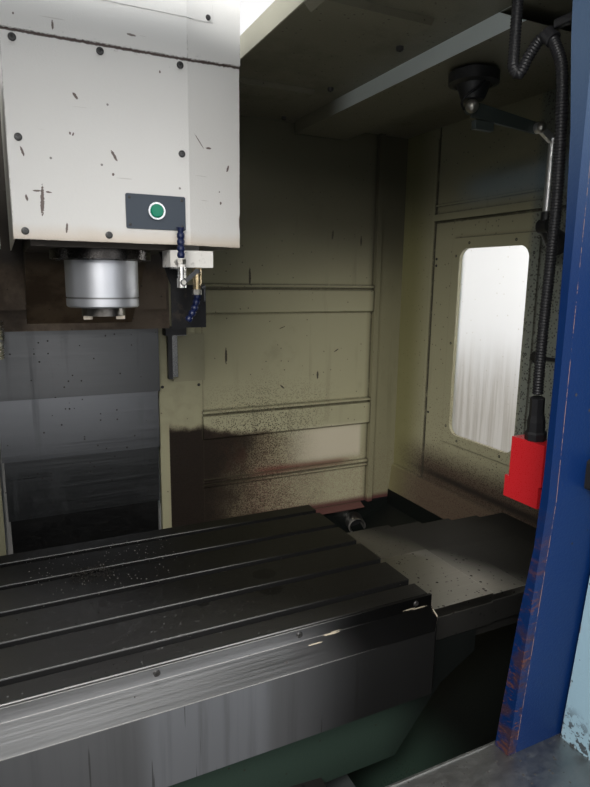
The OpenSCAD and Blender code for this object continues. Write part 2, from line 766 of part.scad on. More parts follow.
module lower_valve_lever() color("dimgray") datum()
  translate([valve_2[0] + 8.5 + seat, valve_2[1], valve_2[2] - 8]) rotate([0, 90, 0]) rotate([0, 0, -90]) valve_lever(26);

// Jointed nozzle hoses: ball-and-cup links along a short run, one bent at its end
module hose_link(d) {
  rotate_extrude($fn = 32) polygon([
    [0, 0], [d * 0.34, 0], [d * 0.5, d * 0.3], [d * 0.5, d * 0.62], [d * 0.36, d * 0.86], [0, d * 0.86]
  ]);
}

module coolant_nozzles() {
  d = 15;
  link = d * 0.8;
  bend = 9;
  color("navy") datum() {
    translate([valve_1[0], valve_1[1], valve_1[2] + 38]) {
      for (i = [0:3]) translate([0, 0, i * link]) hose_link(d);
      translate([0, 0, 4 * link]) cylinder(d1 = d * 0.6, d2 = d * 1.1, h = 10, $fn = 32);
    }
    translate([valve_2[0], valve_2[1], valve_2[2] - 20]) rotate([180, 0, 0]) {
      for (i = [0:4]) translate([-i * i * 0.9, 0, i * link]) rotate([0, -i * bend, 0]) hose_link(d);
    }
  }
}

// Dark plate on the head's face with its green push button
plate_x = 25;
plate_z = 676;
module button_plate() {
  w = 113;
  h = 63;
  color("darkslategray") datum() translate([0, -cover_front, 0]) difference() {
    union() {
      translate([plate_x, 0, plate_z]) rotate([90, 0, 0]) linear_extrude(3) round_rect(w, h, 3);
      rod_y([plate_x + w / 2, -9, plate_z + h / 2 + 2], button_d + 7, 7);
    }
    rod_y([plate_x + w / 2, -10, plate_z + h / 2 + 2], button_d + 2 * seat, 11);
  }
}

module push_button() {
  w = 113;
  h = 63;
  color("seagreen") datum() translate([plate_x + w / 2, -cover_front - 13, plate_z + h / 2 + 2])
    rotate([-90, 0, 0]) rotate_extrude($fn = 64) polygon([
      [0, 0], [button_d / 2 - 2, 0], [button_d / 2, 2], [button_d / 2, 13 - button_travel - seat], [0, 13 - button_travel - seat]
    ]);
}

// Limit switch on the rear wall: box, its trip rod and the narrow plate behind them
module limit_switch() {
  x0 = slide_w / 2 + 5;
  plate_y = wall_y - 6 - seat;
  color("darkslategray") datum() {
    block([x0, wall_y - 48, 408], [x0 + 66, plate_y, 436]);
    block([x0 + 10, wall_y - 36, 269], [x0 + 24, wall_y - 16, 410]);
    block([x0 + 23, wall_y - 34, 275], [x0 + 40, wall_y - 18, 410]);
    block([x0 + 14, wall_y - 19, 300], [x0 + 36, plate_y, 312]);
    block([x0 + 30, plate_y - 4, 255], [x0 + 136, plate_y, 409]);
  }
}

// Side walls: double-skinned panels, each with a framed window and pressed lines
window_low = 70;
window_y = -56;
frame_rim = 34;
rebate = 15;
pan_rim = -236;
module side_walls() {
  back = wall_y + wall_back;
  low = bed_low - 20;
  color("darkkhaki") datum() both_sides() difference() {
    union() {
      block([inner_x, -front_d + sheet, low], [half_w, back, enclosure_h]);
      translate([inner_x - 6, window_y - frame_rim, window_low - frame_rim]) rotate([90, 0, 90])
        linear_extrude(7) round_rect(window_w + 2 * frame_rim, window_h + 2 * frame_rim, 4);
      along_y(-400, wall_y - seat) polygon([
        [inner_x, -132], [inner_x - 9, -136], [inner_x - 20, pan_rim], [inner_x, pan_rim]
      ]);
      block([inner_x - 6, 378, -132], [inner_x, 391, roof_z - 40]);
      block([inner_x - 6, -250, 790], [inner_x, 378, 812]);
      block([inner_x - 3, -250, 838], [inner_x, 378, 844]);
    }
    translate([inner_x - 10, window_y, window_low]) rotate([90, 0, 90])
      linear_extrude(wall_t + 20) round_rect(window_w, window_h, 38);
    translate([inner_x + 6, window_y - rebate, window_low - rebate]) rotate([90, 0, 90])
      linear_extrude(wall_t) round_rect(window_w + 2 * rebate, window_h + 2 * rebate, 38);
    for (y = [370, -260]) block([inner_x - 1, y, -120], [inner_x + 5, y + 8, enclosure_h + 1]);
    block([inner_x - 1, -255, 782], [inner_x + 5, 373, 790]);
  }
}

module window_panes() color("lightgray") datum() both_sides()
  translate([inner_x + 6 + seat, window_y - rebate + seat, window_low - rebate + seat])
    rotate([90, 0, 90]) linear_extrude(pane_t)
      round_rect(window_w + 2 * (rebate - seat), window_h + 2 * (rebate - seat), 38);

// Rear walls beside the column, with raised bands, trims and a bottom lip
wall_left = z_plate_half + 4;
rear_low = -267;
module rear_walls() {
  bands = [[477, 568, 14], [54, 148, 16], [-118, -96, 12]];
  strip_w = 145;
  trim_x = inner_x - 131;
  trim_w = 21;
  color("darkkhaki") datum() both_sides() {
    block([wall_left, wall_y, rear_low], [inner_x, wall_y + wall_back, roof_z - seat]);
    for (b = bands)
      along_x(wall_left + strip_w, trim_x + 1) polygon([
        [wall_y, b[0] - 6], [wall_y - b[2], b[0]], [wall_y - b[2], b[1] - 18], [wall_y - 3, b[1] - 16],
        [wall_y - 3, b[1] - 9], [wall_y - b[2] - 2, b[1] - 7], [wall_y - b[2] - 2, b[1] - 1], [wall_y, b[1]]
      ]);
    block([trim_x, wall_y - 20, rear_low], [trim_x + trim_w, wall_y, roof_z - seat]);
    block([wall_left, wall_y - 6, rear_low], [wall_left + strip_w, wall_y, roof_z - seat]);
    along_x(wall_left, inner_x - 150) polygon([
      [wall_y + 8, rear_low + 1], [wall_y - 30, rear_low - 14], [wall_y - 30, rear_low - 17],
      [wall_y + 8, rear_low - 2]
    ]);
  }
}

// Roof: sheets with an opening over the head and magazine, pressed ribs and a hanging beam
head_gap = 350;
magazine_gap = 800;
module roof() {
  open_front = -350;
  lip = 50;
  beam_x = 705;
  beam_w = 197;
  beam_h = 38;
  back = wall_y + wall_back;
  color("darkkhaki") datum() difference() {
    union() {
      block([-inner_x, inner_front + sheet, roof_z], [inner_x, back, roof_z + sheet]);
      block([-magazine_gap - sheet, open_front - sheet, roof_z], [head_gap + sheet, back, roof_z + lip]);
      for (rib = [[-290, -232], [216, 300]])
        along_y(rib[0], rib[1]) polygon([
          [head_gap + sheet, roof_z], [head_gap + 18, roof_z - 14], [beam_x - 100, roof_z - 14], [beam_x - 93, roof_z]
        ]);
      along_x(beam_x, beam_x + beam_w) polygon([
        [-440, roof_z - beam_h], [-369, roof_z], [wall_y - 21, roof_z], [wall_y - 21, roof_z - beam_h]
      ]);
    }
    block([-magazine_gap, open_front, roof_z - 1], [head_gap, back + 1, roof_z + lip + 1]);
  }
}

// Front surround: one welded sheet with the doorway, its reveals and the drawer's mouth
panel_x1 = half_w - 120;
panel_x0 = panel_x1 - 380;
panel_low = 250;
panel_top = 900;
rail_y = -front_d + 115;
module front_frame() {
  low = bed_low - 20;
  top = enclosure_h - sheet;
  rear_edge = door_face - panel_gap;
  color("powderblue") datum() {
    difference() {
      union() {
        block([-half_w, -front_d, low], [half_w, -front_d + sheet, enclosure_h]);
        block([-inner_x, -front_d, top], [inner_x, inner_front + sheet, enclosure_h]);
        block([-inner_x, inner_front, -116], [inner_x, inner_front + sheet, enclosure_h]);
      }
      block([-doorway_half, -front_d - 1, -sill_drop], [doorway_half, inner_front - 1, doorway_top]);
      block([-doorway_half, inner_front - 1, -117], [doorway_half, inner_front + sheet + 1, doorway_top]);
      block([-drawer_half, -front_d - 1, low - 1], [drawer_half, -front_d + sheet + 1, drawer_top]);
      block([panel_x0, -front_d - 1, panel_low], [panel_x1, -front_d + sheet + 1, panel_top]);
    }
    both_sides() along_x(doorway_half, doorway_half + sheet) polygon([
      [-front_d + sheet - 1, -sill_drop], [-front_d + sheet - 1, doorway_top + sheet],
      [rear_edge, doorway_top + sheet], [rear_edge, 300], [rear_edge + 28, -sill_drop]
    ]);
    block([-doorway_half - 1, -front_d + sheet - 1, doorway_top], [doorway_half + 1, rear_edge, doorway_top + sheet]);
    along_x(-inner_x + 30, inner_x - 30) difference() {
      translate([rail_y - 20, doorway_top + 26]) square([40, top - doorway_top - 26]);
      translate([rail_y - 17, doorway_top + 29]) square([34, top - doorway_top - 32]);
      translate([rail_y - 7, doorway_top + 25]) square([14, 10]);
    }
  }
}

// Steel sill with a turned-down front and a rail edge for the doors
module front_sill() {
  t = 5;
  color("slategray") datum() {
    difference() {
      block([-inner_x + seat, -front_d + sheet + seat, -sill_drop - t], [inner_x - seat, inner_front - 3, -sill_drop]);
      both_sides() block([doorway_half, -front_d, -sill_drop - t - 1], [inner_x, door_face - 35, -sill_drop + 1]);
    }
    block([-inner_x + seat, inner_front - 3, -sill_drop - 40], [inner_x - seat, inner_front, -sill_drop + 2]);
  }
}

// Chip pan: sloping side sheets, a front wall under the sill and a rear wall
module chip_pan() {
  pan_low = bed_top - 150;
  x_out = inner_x - 22;
  x_in = bed_w / 2;
  color("darkseagreen") datum() {
    both_sides() along_y(inner_front + sheet, wall_y) polygon([
      [inner_x, pan_rim - seat], [x_out, pan_rim - seat], [x_out - 2, -296], [x_in, pan_low],
      [x_in, pan_low - sheet], [x_out, -296 - sheet], [inner_x, -296 - sheet]
    ]);
    block([-inner_x, inner_front, bed_top + seat], [inner_x, inner_front + sheet, -sill_drop - 6]);
    both_sides() block([x_in, inner_front, pan_low - sheet], [inner_x, inner_front + sheet, bed_top + 1]);
    both_sides() block([x_in, wall_y, pan_low - sheet], [inner_x, wall_y + 3, rear_low - 8]);
  }
}

// Electrical cabinet on the column's back, open to the rear behind its hinged door
cab_half = 600;
cab_low = -780;
cab_top = 900;
cab_door_t = 25;
pull_d = 25;
cab_back = back_d - pull_d - cab_door_t + sheet - seat;
module electrical_cabinet() {
  front = bed_back + 5;
  w = sheet;
  color("powderblue") datum() {
    difference() {
      block([-cab_half, front, cab_low], [cab_half, cab_back - w, cab_top]);
      block([-cab_half + w, front + w, cab_low + w], [cab_half - w, cab_back + 1, cab_top - w]);
    }
    block([-cab_half + 60, front + w, cab_low + 80], [cab_half - 60, front + w + 6, cab_top - 80]);
    for (z = [-500, -150, 200, 550]) block([-cab_half + 120, front + w + 6, z], [cab_half - 120, front + w + 90, z + 160]);
    for (z = [0, 600]) block([-120, column_back, z], [120, front, z + 80]);
    both_sides() block([-cab_half, front, floor_z], [-cab_half + 80, front + 80, cab_low]);
    both_sides() block([-cab_half, cab_back - 83, floor_z], [-cab_half + 80, cab_back - w, cab_low]);
    for (z = hinge_rows) {
      rod_z([hinge_x, hinge_y, z + 60 + seat], 14, 40);
      rod_z([hinge_x, hinge_y, z + 20], 6, 60);
      block([hinge_x, cab_back - 30, z + 60 + seat], [-cab_half, hinge_y, z + 100]);
    }
  }
}

hinge_x = -cab_half - 8;
hinge_y = cab_back + 5;
hinge_rows = [-560, 60, 680];
module cabinet_door() color("powderblue") datum() {
  y = cab_back - sheet + seat;
  difference() {
    union() {
      block([-cab_half, y, cab_low], [cab_half, y + cab_door_t, cab_top]);
      for (z = hinge_rows) {
        rod_z([hinge_x, hinge_y, z], 14, 60);
        block([hinge_x, hinge_y - 3, z], [-cab_half + 2, hinge_y + 3, z + 60]);
      }
    }
    block([-cab_half + 3, y - 1, cab_low + 3], [cab_half - 3, y + cab_door_t - 3, cab_top - 3]);
    for (z = hinge_rows) {
      rod_z([hinge_x, hinge_y, z + 15], 6 + 2 * fit, 60);
      block([-cab_half - 20, y - 1, z + 60], [-cab_half + 8, y + 16, z + 102]);
    }
  }
  block([cab_half - 70, y + cab_door_t, 40], [cab_half - 40, y + cab_door_t + pull_d, 200]);
}

// Chip drawer that slides out under the sill
module chip_drawer() color("slategray") datum() {
  front = -front_d + 28;
  back = drawer_back - 6;
  low = floor_z + 22;
  wide = drawer_half - seat;
  top = drawer_top - 6;
  wheel = 24;
  difference() {
    block([-wide, front, low], [wide, back, top]);
    block([-wide + 3, front + 3, low + 3], [wide - 3, back - 3, top + 1]);
  }
  block([-wide, -front_d + 3, low + 4], [wide, front + 1, top]);
  block([-80, -front_d, top - 60], [80, -front_d + 4, top - 45]);
  for (s = [-1, 1]) for (y = [front + 40, back - 40])
    rod_x([s * (wide - 40) - 12, y, floor_z + wheel / 2], wheel, 24);
}

// Operator panel set in the front sheet, with a screen and rows of keys
module control_panel() {
  y0 = -front_d + 25;
  back = -front_d + sheet + seat;
  key = 22;
  color("dimgray") datum() difference() {
    union() {
      block([panel_x0 + seat, y0, panel_low + seat], [panel_x1 - seat, y0 + 50, panel_top - seat]);
      difference() {
        block([panel_x0 - 12, back, panel_low - 12], [panel_x1 + 12, y0 + 10, panel_top + 12]);
        block([panel_x0 + 3, back - 1, panel_low + 3], [panel_x1 - 3, y0 + 1, panel_top - 3]);
      }
      for (r = [0:4]) for (c = [0:8])
        block([panel_x0 + 30 + c * 36, y0 - 3, panel_low + 130 + r * 34],
              [panel_x0 + 30 + c * 36 + key, y0 + 1, panel_low + 130 + r * 34 + key]);
    }
    block([panel_x0 + 50, y0 - 1, panel_top - 290], [panel_x1 - 50, y0 + 4, panel_top - 50]);
    rod_y([panel_x1 - 70, y0 - 1, panel_low + 70], 16 + 2 * fit, 40);
  }
}

module emergency_button() color("red") datum()
  translate([panel_x1 - 70, -front_d + 3, panel_low + 70]) rotate([-90, 0, 0]) {
    rotate_extrude($fn = 48) polygon([[0, 0], [16, 0], [20, 4], [20, 10], [12, 16], [0, 16]]);
    cylinder(d = 16, h = 45, $fn = 32);
  }

// Guard switch behind the right door, on its bracket from the front surround
switch_x = 500;
module interlock_switch() {
  y0 = inner_front + 8;
  low = 255;
  color("crimson") datum() {
    block([switch_x, y0, low + 34], [switch_x + 34, y0 + 62, low + 98]);
    block([switch_x, y0 + 4, low], [switch_x + 34, y0 + 70, low + 34]);
    rod_z([switch_x + 17, y0 + 32, low + 98], 24, 22);
    block([switch_x + 34, inner_front + sheet, low + 10], [switch_x + 38, y0 + 56, low + 90]);
    block([switch_x + 34, inner_front + sheet, low + 10], [switch_x + 120, inner_front + sheet + 4, low + 90]);
  }
}

// Lamp: bell base under the roof beam, flat arm, hanging tube and a hooded head
lamp_x = 799;
lamp_y = -200;
elbow_x = 1000;
ball_1_z = 975;
ball_2_z = 953;
lamp_tube_x = 1049;
module lamp_base() {
  top = roof_z - 38;
  flange = top - ball_1_z - 16 - 10;
  color("black") datum() {
    translate([lamp_x, lamp_y, ball_1_z + 16]) rotate_extrude($fn = 48) polygon([
      [0, 0], [24, 0], [28, 6], [38, 34], [42, flange - 26], [56, flange - 22],
      [56, flange], [30, flange], [30, top - ball_1_z - 16], [0, top - ball_1_z - 16]
    ]);
  }
}

module lamp_arm() {
  r = 14;
  color("slategray") datum() {
    rod_z([lamp_x, lamp_y, ball_1_z], 18, 16 - seat);
    translate([lamp_x, lamp_y - 10, ball_1_z]) rotate([-90, 0, 0]) cylinder(d = 2 * r, h = 20, $fn = 40);
    along_y(lamp_y - 4, lamp_y + 4) polygon([
      [lamp_x, ball_1_z - 20], [lamp_x, ball_1_z + 14], [elbow_x, ball_2_z + 14], [elbow_x, ball_2_z - 12]
    ]);
    translate([elbow_x, lamp_y - 4, ball_2_z]) rotate([-90, 0, 0]) cylinder(d = 24, h = 8, $fn = 40);
  }
}

lamp_tube_low = 762;
lamp_tilt_z = lamp_tube_low - 36;
module lamp_tube() {
  low = lamp_tube_low;
  color("silver") datum() {
    translate([elbow_x, lamp_y - 4 - seat, ball_2_z]) rotate([90, 0, 0]) cylinder(d = 26, h = 12, $fn = 40);
    along_y(lamp_y - 16, lamp_y - 6) polygon([
      [elbow_x, ball_2_z - 8], [elbow_x, ball_2_z + 8], [lamp_tube_x + 8, 938], [lamp_tube_x + 8, 922],
      [lamp_tube_x - 8, 922]
    ]);
    rod_z([lamp_tube_x, lamp_y - 11, low], 20, 172);
  }
}

module lamp_head() {
  clear_r = lamp_tube_low - lamp_tilt_z - 2 * seat;
  color("black") datum() {
    intersection() {
      rod_z([lamp_tube_x, lamp_y - 11, lamp_tilt_z], 26, clear_r);
      rod_y([lamp_tube_x, lamp_y - 26, lamp_tilt_z], 2 * clear_r, 30);
    }
    rod_y([lamp_tube_x, lamp_y - 26, lamp_tilt_z], 36, 30);
    translate([lamp_tube_x, lamp_y - 11, lamp_tilt_z - 4]) rotate([0, 125, 0])
      rotate_extrude($fn = 48) polygon([[0, 0], [16, 0], [30, 60], [30, 74], [27, 74], [27, 62], [0, 40]]);
  }
}

// Cable conduit from the roof down to the guard switch, held at both ends and by a clip
conduit_d = 16;
hose_y = inner_front + 33;
conduit_points = [
  [487, hose_y + 80, roof_z - 0.2], [487, hose_y + 80, 990], [487, hose_y + 80, 905], [485, hose_y + 76, 884],
  [489, hose_y + 68, 876], [493, hose_y + 57, 896], [497, hose_y + 42, 913], [499, hose_y + 28, 912],
  [500, hose_y + 14, 890], [500, hose_y + 4, 863], [502, hose_y, 807], [506, hose_y, 749], [508, hose_y, 688],
  [507, hose_y, 643], [506, hose_y, 590], [504, hose_y, 518], [504, hose_y, 455], [506, hose_y + 1, 425],
  [513, hose_y + 5, 404], [switch_x + 17, hose_y + 7, 390], [switch_x + 17, hose_y + 7, 375.3]
];
function unit(v) = v / norm(v);
function tangent(p, i) = unit(p[min(i + 1, len(p) - 1)] - p[max(i - 1, 0)]);
module tube(points, d) {
  n = 10;
  rings = [for (i = [0:len(points) - 1])
    let (t = tangent(points, i), u = unit(cross(t, [1, 0.03, 0])), v = cross(t, u))
      for (j = [0:n - 1]) points[i] + d / 2 * (cos(360 * j / n) * u + sin(360 * j / n) * v)];
  last = len(points) - 1;
  sides = [for (i = [0:last - 1]) for (j = [0:n - 1])
    [i * n + j, i * n + (j + 1) % n, (i + 1) * n + (j + 1) % n, (i + 1) * n + j]];
  polyhedron(rings, concat([[for (j = [n - 1:-1:0]) j]], sides, [[for (j = [0:n - 1]) last * n + j]]));
}

module conduit() color("black") datum() tube(conduit_points, conduit_d);

// Tool changer frame: bearing plate, magazine shell, cam box and the bracket to the column
mag_x = -560;
mag_z = 1000;
arm_z = 452;
cam_low = 640;
module magazine_frame() {
  shell_r = pot_r + 80;
  shaft = 60;
  plate = 16;
  color("gainsboro") datum() {
    difference() {
      union() {
        rod_x([mag_x, 0, mag_z], 2 * shell_r, plate);
        block([mag_x, -80, cam_low + 40], [mag_x + plate, 80, mag_z]);
        block([mag_x, 150, roof_z + 60], [mag_x + plate, throat + 120, roof_z + 220]);
        block([mag_x, throat + 20, roof_z + 60], [-column_w / 2, throat + 120, roof_z + 220]);
        block([mag_x, -70, cam_low + 60], [-arm_reach - 60, 70, cam_low + 240]);
        block([-arm_reach - 80, -75, cam_low], [-arm_reach + 60, 75, cam_low + 280]);
      }
      rod_z([-arm_reach, 0, cam_low - 1], shaft + 2 * fit, 60);
      rod_x([mag_x - 1, 0, mag_z], shaft + 2 * fit, plate + 2);
    }
    translate([mag_x - 160, 0, mag_z]) rotate([0, 90, 0]) difference() {
      cylinder(r = shell_r, h = 161, $fn = 72);
      translate([0, 0, sheet]) cylinder(r = shell_r - sheet, h = 170, $fn = 72);
      translate([shell_r - 100, -70, sheet]) cube([200, 140, 140]);
    }
  }
}

module magazine_disc() {
  shaft = 60;
  disc_x = mag_x - 140;
  color("dimgray") datum() translate([disc_x, 0, mag_z]) rotate([0, 90, 0]) difference() {
    union() {
      cylinder(r = pot_r + 20, h = 16, $fn = 72);
      translate([0, 0, 16]) cylinder(d = 150, h = 90, $fn = 48);
      translate([0, 0, 16]) cylinder(d = shaft, h = 150, $fn = 48);
      for (i = [0:pot_n - 1]) rotate([0, 0, i * 360 / pot_n]) translate([pot_r, 0, 15]) cylinder(d = pot_d, h = 90, $fn = 40);
    }
    for (i = [0:pot_n - 1]) rotate([0, 0, i * 360 / pot_n]) translate([pot_r, 0, 102]) cylinder(d = pot_d * 0.65, h = 9, $fn = 40);
    for (i = [0:pot_n - 1]) rotate([0, 0, (i + 0.5) * 360 / pot_n]) translate([pot_r * 0.6, 0, -1]) cylinder(d = 40, h = 20, $fn = 32);
  }
}

module change_arm() {
  grip = 36;
  t = 28;
  shaft = 60;
  color("silver") datum() translate([-arm_reach, 0, arm_z]) {
    rod_z([0, 0, 0], shaft, cam_low - arm_z + 55);
    difference() {
      linear_extrude(t) union() {
        circle(d = 110, $fn = 48);
        translate([-32, -arm_reach]) square([64, 2 * arm_reach]);
        for (s = [-1, 1]) translate([0, s * arm_reach]) circle(r = grip + 18, $fn = 48);
      }
      for (s = [-1, 1]) translate([0, s * arm_reach, -1]) {
        cylinder(r = grip, h = t + 2, $fn = 48);
        rotate([0, 0, s > 0 ? 25 : 205]) translate([0, -grip * 0.8, 0]) cube([90, grip * 1.6, t + 2]);
      }
    }
  }
}

// Sliding doors: folded sheet with a lower face that leans in, a window and a grip
door_top = doorway_top + 10;
door_knee = 300;
pane_x0 = 170;
pane_x1 = 60;
pane_low = 380;
pane_top = 960;
module door_shell() {
  low = -sill_drop + seat;
  t = sheet - 0.5;
  edge = 25;
  lean = 28;
  hanger_z = doorway_top + 29;
  difference() {
    along_x(door_open, door_open + door_w) polygon([
      [door_face + lean, low], [door_face, door_knee], [door_face, door_top], [door_face + 46, door_top],
      [door_face + 31, 870], [door_face + 20, 770], [door_face + 13, 640], [door_face + 10, 460],
      [door_face + 11, 330], [door_face + 16, 230], [door_face + 32, 110], [door_back, low]
    ]);
    along_x(door_open + t, door_open + door_w - t) polygon([
      [door_face + lean + t, low + edge], [door_face + t, door_knee], [door_face + t, door_top - edge],
      [door_back + 40, door_top - edge], [door_back + 40, low + edge]
    ]);
    translate([door_open + pane_x0, door_face - 1, pane_low]) rotate([90, 0, 0]) translate([0, 0, -20])
      linear_extrude(40) round_rect(door_w - pane_x0 - pane_x1, pane_top - pane_low, 30);
  }
  translate([door_open + 66, door_face + 1, 308]) rotate([90, 0, 0]) linear_extrude(26) round_rect(30, 43, 6);
  for (x = [door_open + 80, door_open + door_w - 80]) {
    block([x - 15, rail_y - 4, door_top - 1], [x + 15, rail_y + 4, hanger_z + 14]);
    rod_y([x, rail_y - 12, hanger_z + 12 + seat], 24, 24);
  }
}

module door_pane() {
  lap = 20;
  t = sheet - 0.5;
  translate([door_open + pane_x0 - lap, door_face + t + pane_t, pane_low - lap]) rotate([90, 0, 0])
    linear_extrude(pane_t) round_rect(door_w - pane_x0 - pane_x1 + 2 * lap, pane_top - pane_low + 2 * lap, 30);
}

module right_door() color("royalblue") datum() door_shell();
module left_door() color("royalblue") datum() mirror([1, 0, 0]) door_shell();
module right_door_window() color("lightgray") datum() door_pane();
module left_door_window() color("lightgray") datum() mirror([1, 0, 0]) door_pane();

base_casting();
levelling_feet();
column();
machine_rails();
axis_motors();
side_walls();
window_panes();
rear_walls();
roof();
front_frame();
front_sill();
chip_pan();
electrical_cabinet();
cabinet_door();
chip_drawer();
control_panel();
emergency_button();
interlock_switch();
conduit();
lamp_base();
lamp_arm();
lamp_tube();
lamp_head();
magazine_frame();
magazine_disc();
change_arm();
right_door();
right_door_window();
left_door();
left_door_window();
saddle();
x_rails();
saddle_cover_plates();
fixed_cover_plates();
table();
table_apron();
x_cover_1();
x_cover_2();
x_cover_3();
x_cover_4();
y_cover_2();
y_cover_3();
z_cover_1();
z_cover_2();
z_cover_3();
x_screw();
y_screw();
z_screw();
head_casting();
head_cover();
spindle_motor();
spindle_housing();
spindle_rotor();
coolant_fittings();
upper_valve_lever();
lower_valve_lever();
coolant_nozzles();
button_plate();
push_button();
limit_switch();
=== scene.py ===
import math
import bpy
import numpy as np
from mathutils import Matrix


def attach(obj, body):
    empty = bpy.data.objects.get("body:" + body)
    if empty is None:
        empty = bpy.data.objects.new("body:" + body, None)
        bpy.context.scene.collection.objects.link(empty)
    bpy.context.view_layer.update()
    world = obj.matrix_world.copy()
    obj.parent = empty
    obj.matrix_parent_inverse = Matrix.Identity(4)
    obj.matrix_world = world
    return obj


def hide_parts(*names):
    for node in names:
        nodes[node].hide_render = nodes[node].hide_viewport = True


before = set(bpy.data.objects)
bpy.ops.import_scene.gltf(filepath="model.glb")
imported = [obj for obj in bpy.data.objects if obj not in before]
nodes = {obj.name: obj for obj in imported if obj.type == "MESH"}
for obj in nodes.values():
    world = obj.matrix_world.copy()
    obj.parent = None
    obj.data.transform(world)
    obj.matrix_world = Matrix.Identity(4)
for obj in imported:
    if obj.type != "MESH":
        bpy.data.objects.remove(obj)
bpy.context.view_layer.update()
print("frame loaded:", len(nodes), "nodes")

# The drawing's datum is where the spindle axis meets the table top, in mm
machineSpot = {"spindleY": -0.300, "tableZ": 0.900}


def place(points):
    # mm from the datum to metres in the row frame
    p = np.asarray(points, float) / 1000.0
    return p + np.array([0.0, machineSpot["spindleY"], machineSpot["tableZ"]])


def zAt(mm):
    return mm / 1000.0 + machineSpot["tableZ"]


def yAt(mm):
    return mm / 1000.0 + machineSpot["spindleY"]


# camera
camera = {"spot": (-190, -1340, 584), "yaw": 25.805, "pitch": 10.729, "roll": -0.7726, "lens": 27.31, "sensor": 36.0}


def putAt(obj, right, up, back, spot):
    # stands an object at a spot, turned to three unit vectors
    m = np.eye(4)
    m[:3, 0], m[:3, 1], m[:3, 2], m[:3, 3] = right, up, back, spot
    bpy.context.scene.collection.objects.link(obj)
    obj.matrix_world = Matrix(m.tolist())


def aimCamera():
    y, p, r = (math.radians(camera[k]) for k in ("yaw", "pitch", "roll"))
    ahead = np.array([math.sin(y) * math.cos(p), math.cos(y) * math.cos(p), -math.sin(p)])
    right = np.array([math.cos(y), -math.sin(y), 0.0])
    down = np.cross(ahead, right)
    rightR = math.cos(r) * right + math.sin(r) * down
    downR = -math.sin(r) * right + math.cos(r) * down
    cam = bpy.data.objects.new("viewCamera", bpy.data.cameras.new("viewCamera"))
    putAt(cam, rightR, -downR, -ahead, place(camera["spot"]))
    cam.data.lens, cam.data.sensor_width = camera["lens"], camera["sensor"]
    cam.data.clip_start = 0.02
    bpy.context.scene.camera = cam
    bpy.context.scene.view_settings.view_transform = "Standard"


aimCamera()
print("camera set")


# mesh helpers: a part is its points, in mm from the datum, and its faces
def joinParts(parts):
    verts, faces, start = [], [], 0
    for v, f in parts:
        verts.append(np.asarray(v))
        faces += [[i + start for i in face] for face in f]
        start += len(v)
    return np.concatenate(verts), faces


def addPiece(name, parts, body, finish, smooth=False, autoSharp=None):
    verts, faces = joinParts(parts)
    mesh = bpy.data.meshes.new(name)
    mesh.from_pydata(place(verts).tolist(), [], [list(map(int, f)) for f in faces])
    mesh.validate()
    mesh.update()
    mesh.polygons.foreach_set("use_smooth", [smooth] * len(mesh.polygons))
    if autoSharp:
        mesh.set_sharp_from_angle(angle=math.radians(autoSharp))
    obj = bpy.data.objects.new(name, mesh)
    bpy.context.scene.collection.objects.link(obj)
    obj.data.materials.append(mats[finish])
    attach(obj, body)
    return obj


def loft(rings):
    # rings[i, j] is point j of ring i: quads between neighbours, and each end closes on its own middle point
    rings = np.asarray(rings, float)
    n, m = rings.shape[:2]
    verts = np.concatenate([rings.reshape(-1, 3), rings[:1].mean(1), rings[-1:].mean(1)])
    i, j = np.meshgrid(np.arange(n - 1), np.arange(m), indexing="ij")
    a = i * m + j
    b = i * m + (j + 1) % m
    faces = np.stack([a, b, b + m, a + m], axis=-1).reshape(-1, 4).tolist()
    j = np.arange(m)
    k = (j + 1) % m
    faces += np.stack([k, j, np.full(m, n * m)], 1).tolist()
    faces += np.stack([j + (n - 1) * m, k + (n - 1) * m, np.full(m, n * m + 1)], 1).tolist()
    return verts, faces


def frameFor(axis):
    # two unit vectors square to an axis, so that u x v = axis
    w = np.asarray(axis, float) / np.linalg.norm(axis)
    helper = np.array([0.0, 0.0, 1.0]) if abs(w[2]) < 0.9 else np.array([1.0, 0.0, 0.0])
    u = np.cross(helper, w)
    u /= np.linalg.norm(u)
    return u, np.cross(w, u), w


def lathe(profile, spot, axis, sides=32):
    # radius and height along the axis for each ring, turned round it
    u, v, w = frameFor(axis)
    t = np.linspace(0, 2 * np.pi, sides, endpoint=False)
    round_ = np.cos(t)[:, None] * u + np.sin(t)[:, None] * v
    rh = np.asarray(profile, float)
    return loft(rh[:, 0, None, None] * round_[None] + rh[:, 1, None, None] * w + np.asarray(spot, float))


def roundedRing(w, h, r, per=4):
    # outline of a w by h rectangle with corner radius r, centred on zero
    t = np.linspace(0, np.pi / 2, per)
    xs, ys = [], []
    for k, (sx, sy) in enumerate([(1, 1), (-1, 1), (-1, -1), (1, -1)]):
        a = t + k * np.pi / 2
        xs.append(sx * (w / 2 - r) + r * np.cos(a))
        ys.append(sy * (h / 2 - r) + r * np.sin(a))
    return np.stack([np.concatenate(xs), np.concatenate(ys)], 1)


